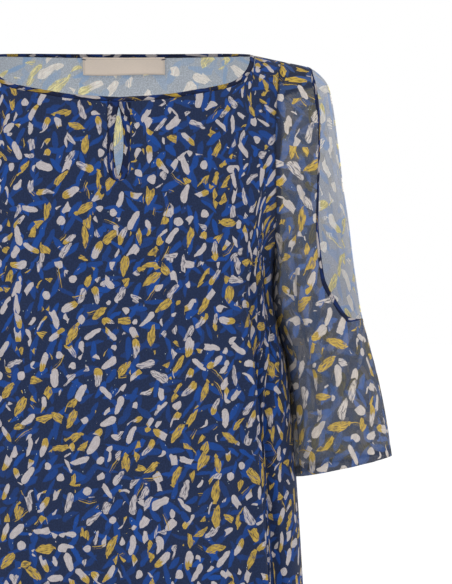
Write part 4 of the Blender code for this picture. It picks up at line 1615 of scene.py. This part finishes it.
@dataclass
class SleeveHalf:
    """The front or back half of one sleeve, and the binding along its edge of the slit."""

    face: Face
    side: Side
    flat_cut: tuple[float, float]
    flat_area: float
    columns: int = 84
    rows: int = 140
    hem_width: float = 0.010
    binding_width: float = 0.0048
    binding_thickness: float = 0.0012
    overrun: float = 0.10
    cap_border: tuple[float, float] = (0.1656, -0.0396)
    cap_slope: float = 0.343
    seam_width: float = 0.0055
    edge_clearness: float = 0.9
    binding_points: int = 14
    pattern_lines: int = 40
    pattern_rounds: int = 3000
    pattern_radius: float = 0.105
    pattern_drop: float = 1.25
    # The angles, from the overarm, where shade is painted on the sleeve against the body.
    underarm_shade_angles: tuple[float, float] = (134, 158)

    def stations(self) -> Array:
        """The rows' stations, closer together at the slit's two ends."""
        last = len(SLEEVE.sections) - 1
        t = np.linspace(0, last, 4001)
        top, end = SLEEVE.slit[0].station, SLEEVE.slit[-1].station
        near_top = np.exp(-(((t - top - 0.15) / 0.3) ** 2))
        near_end = np.exp(-(((t - end + 0.15) / 0.3) ** 2))
        density = 1 + 5 * near_top + 6 * near_end
        reached = np.concatenate([[0], np.cumsum((density[1:] + density[:-1]) / 2)])
        even = np.interp(np.linspace(0, 1, self.rows), reached / reached[-1], t)
        return np.sort(np.concatenate([even, [top, end]]))

    def surface(self, station: Array, size: Array, lift: Array | float = 0.0) -> Array:
        """Points of the folded surface.

        Args:
            station: the rows' stations, as a grid.
            size: the angle from the overarm, as a grid.
            lift: how far the points stand off the cloth.

        Returns:
            The points, on this sleeve's own side.
        """
        angle = -self.face.value * size
        points = SLEEVE.point(station, angle)
        nudge = 2e-3
        round_way = SLEEVE.point(station, angle + nudge) - SLEEVE.point(station, angle - nudge)
        down = SLEEVE.point(station + nudge, angle) - SLEEVE.point(np.maximum(station - nudge, 0), angle)
        middle = (SLEEVE.point(station, 0 * angle) + SLEEVE.point(station, 0 * angle + math.pi)) / 2
        outward = unit(np.cross(round_way, down))
        outward *= np.sign(np.sum(outward * (points - middle), axis=-1, keepdims=True))
        points += outward * (lift - self.fold_depth(station, size))[..., None]
        return points * (self.side.value, 1, 1)

    def fold_depth(self, station: Array, size: Array) -> Array:
        """How deep the folds press the cloth in."""
        last = len(SLEEVE.sections) - 1
        deep = np.zeros(np.broadcast(station, size).shape)
        for number, fold in enumerate(SLEEVE_FOLDS[self.face]):
            along = np.clip((station - fold.start) / (fold.end - fold.start), 0, 1)
            place = fold.angle_top + (fold.angle_end - fold.angle_top) * along
            place = place + 1.5 * self.side.value * np.sin(station * 1.3 + number)
            shape = np.exp(-(((np.degrees(size) - place) / fold.width) ** 2))
            swell = fade(along, 0, 0.6) if fold.end == last else np.sin(math.pi * along)
            deep += fold.depth * shape * swell
        seed = 21 + self.face.value + 5 * self.side.value
        soft = ripples(size * 0.065, station * 0.035, seed, 9, 0.018) * 0.0004
        ends = fade(station, 0.3, 2.0)
        puckers = 0.0003 * np.sin(np.degrees(size) * 0.9) * (1 - fade(station, 0.05, 0.7))
        return deep + soft * ends + puckers

    def make(self, finishes: Finishes) -> bpy.types.Object:
        """Builds the half and its binding.

        Args:
            finishes: the materials.

        Returns:
            The half.
        """
        rows = self.stations()
        edge = SLEEVE.slit_angle(rows, self.face)
        t = np.linspace(0, 1, self.columns)
        shares = t - 0.10 * np.sin(2 * math.pi * t) / (2 * math.pi)
        size = edge[:, None] + (math.pi - edge[:, None]) * shares
        station = np.broadcast_to(rows[:, None], size.shape)
        points = self.surface(station, size)
        sign = self.face.value
        points[..., 1] = sign * np.maximum(sign * points[..., 1], SEAM_GAP / 2)
        down = lengths_along(points, 0)
        where = np.array([0.9, 0.2]) + 0.31 * (self.side is Side.LEFT) + 0.13 * (sign > 0)
        to_hem = lengths_along(points[::-1], 0)[::-1]
        flat = self.pattern(station, size) * (-sign * self.side.value, 1) + where
        free = np.ones(points.shape)
        free[0, :, 0] = 0
        free[:, -1, 1] = 0
        free[edge == 0, 0, 1] = 0
        middle = (self.surface(station, 0 * size) + self.surface(station, 0 * size + math.pi)) / 2
        # seam carries painted shade as well as seams, and cover extra opacity as painted shade, against the
        # body.
        marks = {"seam": self.seams(points, size, edge, to_hem),
                 "cover": self.covers(points, size, to_hem, down)}
        thick = CHIFFON * (1 + 0.9 * (1 - fade(to_hem, self.hem_width - 0.0004, self.hem_width + 0.0004)))
        cloth = Cloth(points.reshape(-1, 3), grid_faces(np.arange(size.size).reshape(size.shape)),
                      flat.reshape(-1, 2), (points - middle).reshape(-1, 3),
                      {key: value.ravel() for key, value in marks.items()}, free.reshape(-1, 3))
        place = f"{self.face.word}_{self.side.word}"
        piece = cloth.shell(f"cloth_sleeve_{place}", [finishes.sheer, finishes.sheer_inside],
                            thickness=thick.ravel())
        settle(piece, "sheer_chiffon", f"sleeve_{place}")
        binding = self.make_binding(finishes, place)
        return piece

    def pattern(self, station: Array, size: Array) -> Array:
        """Where points lie on the half sleeve laid flat before its slit is cut.

        Args:
            station: the points' stations.
            size: their angles from the overarm.

        Returns:
            The flat places.
        """
        count = self.pattern_lines
        last = len(SLEEVE.sections) - 1
        stations, sizes = np.meshgrid(np.linspace(0, last, count), np.linspace(0, math.pi, count),
                                      indexing="ij")
        form = SLEEVE.point(stations, -self.face.value * sizes)
        across, down = (math.pi - sizes) * self.pattern_radius, form[..., 2] * self.pattern_drop
        flat = laid_flat(form, np.stack([across, down], axis=-1), count, self.pattern_rounds)
        row, place = station / last * (count - 1), size / math.pi * (count - 1)
        i, j = (np.clip(value.astype(int), 0, count - 2) for value in (row, place))
        f, g = (row - i)[..., None], (place - j)[..., None]
        upper = flat[i, j] * (1 - g) + flat[i, j + 1] * g
        lower = flat[i + 1, j] * (1 - g) + flat[i + 1, j + 1] * g
        return upper * (1 - f) + lower * f

    def underarm_shade(self, size: Array, to_hem: Array) -> Array:
        """Where the sleeve lies against the body, from 0 to 1: where its shade is painted."""
        return fade(np.degrees(size), *self.underarm_shade_angles) * fade(to_hem, 0.0, 0.10)

    def seams(self, points: Array, size: Array, edge: Array, to_hem: Array) -> Array:
        """The dark lines of seams and of the hem's stitching, and painted shade where it lies against the
        body.

        Args:
            points: the grid of points.
            size: each point's angle from the overarm.
            edge: the slit edge's angle in each row, 0 where there is no slit.
            to_hem: how far each point is from the cuff.

        Returns:
            How dark each point is.
        """
        from_over = lengths_along(points, 1)
        from_under = lengths_along(points[:, ::-1], 1)[:, ::-1]
        over = np.exp(-((from_over / 0.0012) ** 2)) * (edge == 0)[:, None]
        under = np.exp(-((from_under / 0.0012) ** 2))
        hem = np.exp(-(((to_hem - self.hem_width) / 0.0008) ** 2))
        top = np.exp(-((lengths_along(points, 0) / 0.0016) ** 2))
        # The added term is painted shade where the sleeve lies against the body.
        return np.maximum.reduce([over, under, hem, top * 0.6]) + 1.3 * self.underarm_shade(size, to_hem)

    def covers(self, points: Array, size: Array, to_hem: Array, down: Array) -> Array:
        """Where the sleeve is more than one layer: its cap, its hem, and its seams; and where it lies
        against the body, partly layers and partly painted shade.

        Args:
            points: the grid of points.
            size: each point's angle from the overarm.
            to_hem: how far it is from the cuff.
            down: how far it is from the armhole.

        Returns:
            What is stopped of the light that one layer lets through; below 0 it stops less.
        """
        x, z = np.abs(points[..., 0]), points[..., 2]
        border = self.cap_border[1] + (x - self.cap_border[0]) * self.cap_slope
        cap = 0.9 * fade(z - border, -0.0010, 0.0010) * (self.face is Face.FRONT)
        turned = 0.85 * (1 - fade(down, self.seam_width, self.seam_width + 0.0015))
        hem = 0.60 * (1 - fade(to_hem, self.hem_width - 0.0005, self.hem_width + 0.0005))
        from_under = lengths_along(points[:, ::-1], 1)[:, ::-1]
        seam = 0.5 * (1 - fade(from_under, self.seam_width, self.seam_width + 0.0015))
        # Against the body the sleeve is made nearly opaque, partly for its layers and partly as painted
        # shade.
        crowded_and_shaded = 0.95 * self.underarm_shade(size, to_hem)
        layers_and_shade = np.maximum.reduce([cap, turned, hem, seam, crowded_and_shaded])
        if self.face is Face.FRONT:
            return layers_and_shade
        clear = self.edge_clearness * (1 - fade(np.degrees(size), 12, 50))
        return layers_and_shade - clear * (1 - fade(layers_and_shade, 0.0, 0.2))

    def make_binding(self, finishes: Finishes, place: str) -> bpy.types.Object:
        """The narrow folded strip along the slit's edge.

        Args:
            finishes: the materials.
            place: the half's name.

        Returns:
            The piece.
        """
        top, end = SLEEVE.slit[0].station, SLEEVE.slit[-1].station
        rows = self.stations()
        along = rows[(rows >= top) & (rows <= end)]
        rows = np.concatenate([[top - self.overrun], along, [end + self.overrun]])
        edge = SLEEVE.slit_angle(rows, self.face)
        for _ in range(2):
            edge[1:-1] = (edge[:-2] + 2 * edge[1:-1] + edge[2:]) / 4
        line = self.surface(rows, edge)
        nudge = 1e-3
        near = np.linalg.norm(self.surface(rows, edge + nudge) - line, axis=1) / nudge
        middle = self.surface(rows, np.full(len(rows), edge.mean()))
        down = np.linalg.norm(np.gradient(middle, rows, axis=0), axis=1)
        slant = np.gradient(edge, rows) * near / down
        span = self.binding_width * np.minimum(np.sqrt(1 + slant**2), 2.4) / near
        turn = np.linspace(0, 2 * math.pi, self.binding_points, endpoint=False)
        wide = (1 - np.sign(np.cos(turn)) * np.abs(np.cos(turn)) ** 0.5) / 2
        out = np.sign(np.sin(turn)) * np.abs(np.sin(turn)) ** 0.5 * self.binding_thickness / 2
        size = np.abs(edge[:, None] + span[:, None] * (wide[None] - 0.06))
        station = np.broadcast_to(rows[:, None], size.shape)
        lift = np.broadcast_to(out[None] - CHIFFON / 2, size.shape)
        rings = self.surface(station, size, lift)
        sign = self.face.value
        rings[..., 1] = sign * np.maximum(sign * rings[..., 1], SEAM_GAP / 2)
        length = np.concatenate([[0], np.cumsum(np.linalg.norm(np.diff(line, axis=0), axis=1))])
        flat = np.stack(np.broadcast_arrays(length[:, None] + 2.1, wide[None] * self.binding_width), axis=-1)
        seam = np.broadcast_to(np.exp(-(((wide - 0.88) / 0.08) ** 2))[None], size.shape)
        finish = finishes.trim if self.face is Face.FRONT else finishes.sheer_inside
        piece = tube(f"trim_slit_binding_{place}", rings, flat, finish, False, {"seam": seam})
        return settle(piece, "self_trim", f"slit_binding_{place}")


@dataclass(frozen=True)
class Label:
    """A blank tape inside the back of the neck, caught by a stitch at each upper corner."""

    width: float = 0.0835
    top: float = 0.0045
    bottom: float = -0.0125
    inset: float = 0.0022
    thickness: float = 0.0005
    wave: float = 0.0009
    rows: int = 16
    columns: int = 64
    stitch_length: float = 0.0046
    stitch_radius: float = 0.00045
    stitch_rings: int = 12
    stitch_sides: int = 8

    def make(self, finishes: Finishes) -> list[bpy.types.Object]:
        """Builds the tape and its stitches.

        Args:
            finishes: the materials.

        Returns:
            The pieces.
        """
        across = np.linspace(-0.5, 0.5, self.columns) * self.width
        x, z = np.meshgrid(across, np.linspace(self.top, self.bottom, self.rows))
        points = BODY.point(x, z, Face.BACK)
        low = (self.top - z) / (self.top - self.bottom)
        lean = self.inset + self.wave * low * (1 + np.sin(x * 95 + 0.6)) + 0.0012 * low**2
        points[..., 1] -= lean
        points[..., 2] += 0.0006 * low * np.sin(x * 70)
        edge = np.minimum(np.abs(np.abs(x) - self.width / 2), np.minimum(self.top - z, z - self.bottom))
        flat = np.stack([x, z], axis=-1)
        cloth = Cloth(points.reshape(-1, 3), grid_faces(np.arange(x.size).reshape(x.shape)),
                      flat.reshape(-1, 2), np.array([0, 1, 0]),
                      {"seam": np.exp(-(((edge - 0.0012) / 0.0005) ** 2)).ravel()})
        tape = cloth.shell("trim_label", [finishes.label, finishes.label], thickness=self.thickness)
        pieces = [settle(tape, "label_tape", "label")]
        for side in Side:
            pieces.append(self.stitch(finishes, side, points[2]))
        return pieces

    def stitch(self, finishes: Finishes, side: Side, line: Array) -> bpy.types.Object:
        """A short tack over the tape's end.

        Args:
            finishes: the materials.
            side: which end.
            line: the tape's points near its upper edge.

        Returns:
            The piece.
        """
        end = line[-1 if side is Side.LEFT else 0]
        t = np.linspace(-1, 1, self.stitch_rings)
        path = end + np.stack([t * self.stitch_length / 2 - side.value * 0.0012,
                               -0.0008 * np.sqrt(np.maximum(1 - t**2, 0)) - self.thickness,
                               0.0003 * t * side.value], axis=1)
        turn = np.linspace(0, 2 * math.pi, self.stitch_sides, endpoint=False)
        girth = self.stitch_radius * (1 - 0.5 * t**4)
        ring = np.stack([0 * turn, np.cos(turn), np.sin(turn)], axis=1)
        rings = path[:, None] + girth[:, None, None] * ring[None]
        flat = np.stack(np.broadcast_arrays(t[:, None] * 0.0023, turn[None] * self.stitch_radius), axis=-1)
        piece = tube(f"tack_{side.word}", rings, flat, finishes.thread, False, {})
        return settle(piece, "self_trim")


@dataclass(frozen=True)
class Studio:
    """The floor, the lights and the camera."""

    camera_place: tuple[float, float, float] = (0.104, -3.2, -0.234)
    frame_height: float = 0.584  # what the photo's height spans at the shoulders' depth
    sensor: float = 36.0
    floor_drop: float = 0.16
    floor_size: float = 60.0
    world_strength: float = 1.0

    def make(self, finishes: Finishes) -> None:
        """Builds the studio.

        Args:
            finishes: the materials.
        """
        self.make_floor(finishes)
        self.make_light("key", (-1.3, -2.6, 1.5), 1.6, 10.0)
        self.make_light("fill", (2.2, -2.4, 0.4), 2.2, 3.0)
        self.make_light("rim", (0.6, 2.4, 1.6), 2.0, 5.0)
        world = bpy.data.worlds.new("studio")
        world.use_nodes = True
        background = world.node_tree.nodes["Background"]
        background.inputs["Color"].default_value = (1.0, 1.0, 1.0, 1.0)
        background.inputs["Strength"].default_value = self.world_strength
        scene = bpy.context.scene
        scene.world = world
        scene.view_settings.view_transform = "Standard"
        lens = bpy.data.cameras.new("photo_view")
        lens.sensor_width = self.sensor
        lens.lens = self.sensor * -self.camera_place[1] / self.frame_height
        lens.clip_end = 100
        camera = bpy.data.objects.new("photo_view", lens)
        camera.location = self.camera_place
        camera.rotation_euler = (math.pi / 2, 0, 0)
        scene.collection.objects.link(camera)
        scene.camera = camera

    def make_floor(self, finishes: Finishes) -> None:
        """A wide level floor below the hem."""
        half = self.floor_size / 2
        z = BODY.hem_height - self.floor_drop
        points = np.array([(-half, -half, z), (half, -half, z), (half, half, z), (-half, half, z)])
        quads = np.array([(0, 1, 2, 3)])
        floor = build("floor", points, quads, points[:, :2], np.zeros(1), [finishes.floor], {})

    def make_light(self, name: str, place: tuple[float, float, float], size: float, power: float) -> None:
        """A soft square light that faces the blouse."""
        lamp = bpy.data.lights.new(name, "AREA")
        lamp.size = size
        lamp.energy = power
        light = bpy.data.objects.new(name, lamp)
        light.location = place
        aim = np.array((0.05, 0.0, -0.3)) - np.array(place)
        level = math.hypot(aim[0], aim[1])
        light.rotation_euler = (math.atan2(level, -aim[2]), 0, math.atan2(-aim[0], aim[1]))
        bpy.context.scene.collection.objects.link(light)


def main() -> None:
    """Builds the blouse piece by piece, then the studio."""
    logging.basicConfig(level=logging.INFO, format="%(name)s %(message)s")
    finishes = Finishes()
    front = Panel(Face.FRONT, FRONT_FOLDS, FRONT_CREASES, (0.49, 0.66), 0.281)
    back = Panel(Face.BACK, BACK_FOLDS, BACK_CREASES, (0.49, 0.67), 0.285)
    front_piece, *front_lines = front.make(finishes)
    back_piece, *back_lines = back.make(finishes)
    panels = {Face.FRONT: tuple(front_lines), Face.BACK: tuple(back_lines)}
    neck_columns = {Face.FRONT: front.neck_column, Face.BACK: back.neck_column}
    binding = NeckBinding().make(finishes, panels, neck_columns)
    band = KEYHOLE.make_band(finishes, BODY.neckline[0].front_height)
    label = Label().make(finishes)
    for side in Side:
        SleeveHalf(Face.FRONT, side, (0.18, 0.42), 0.0416).make(finishes)
        SleeveHalf(Face.BACK, side, (0.20, 0.42), 0.0564).make(finishes)
    Studio().make(finishes)
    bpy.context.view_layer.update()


if __name__ == "__main__":
    main()
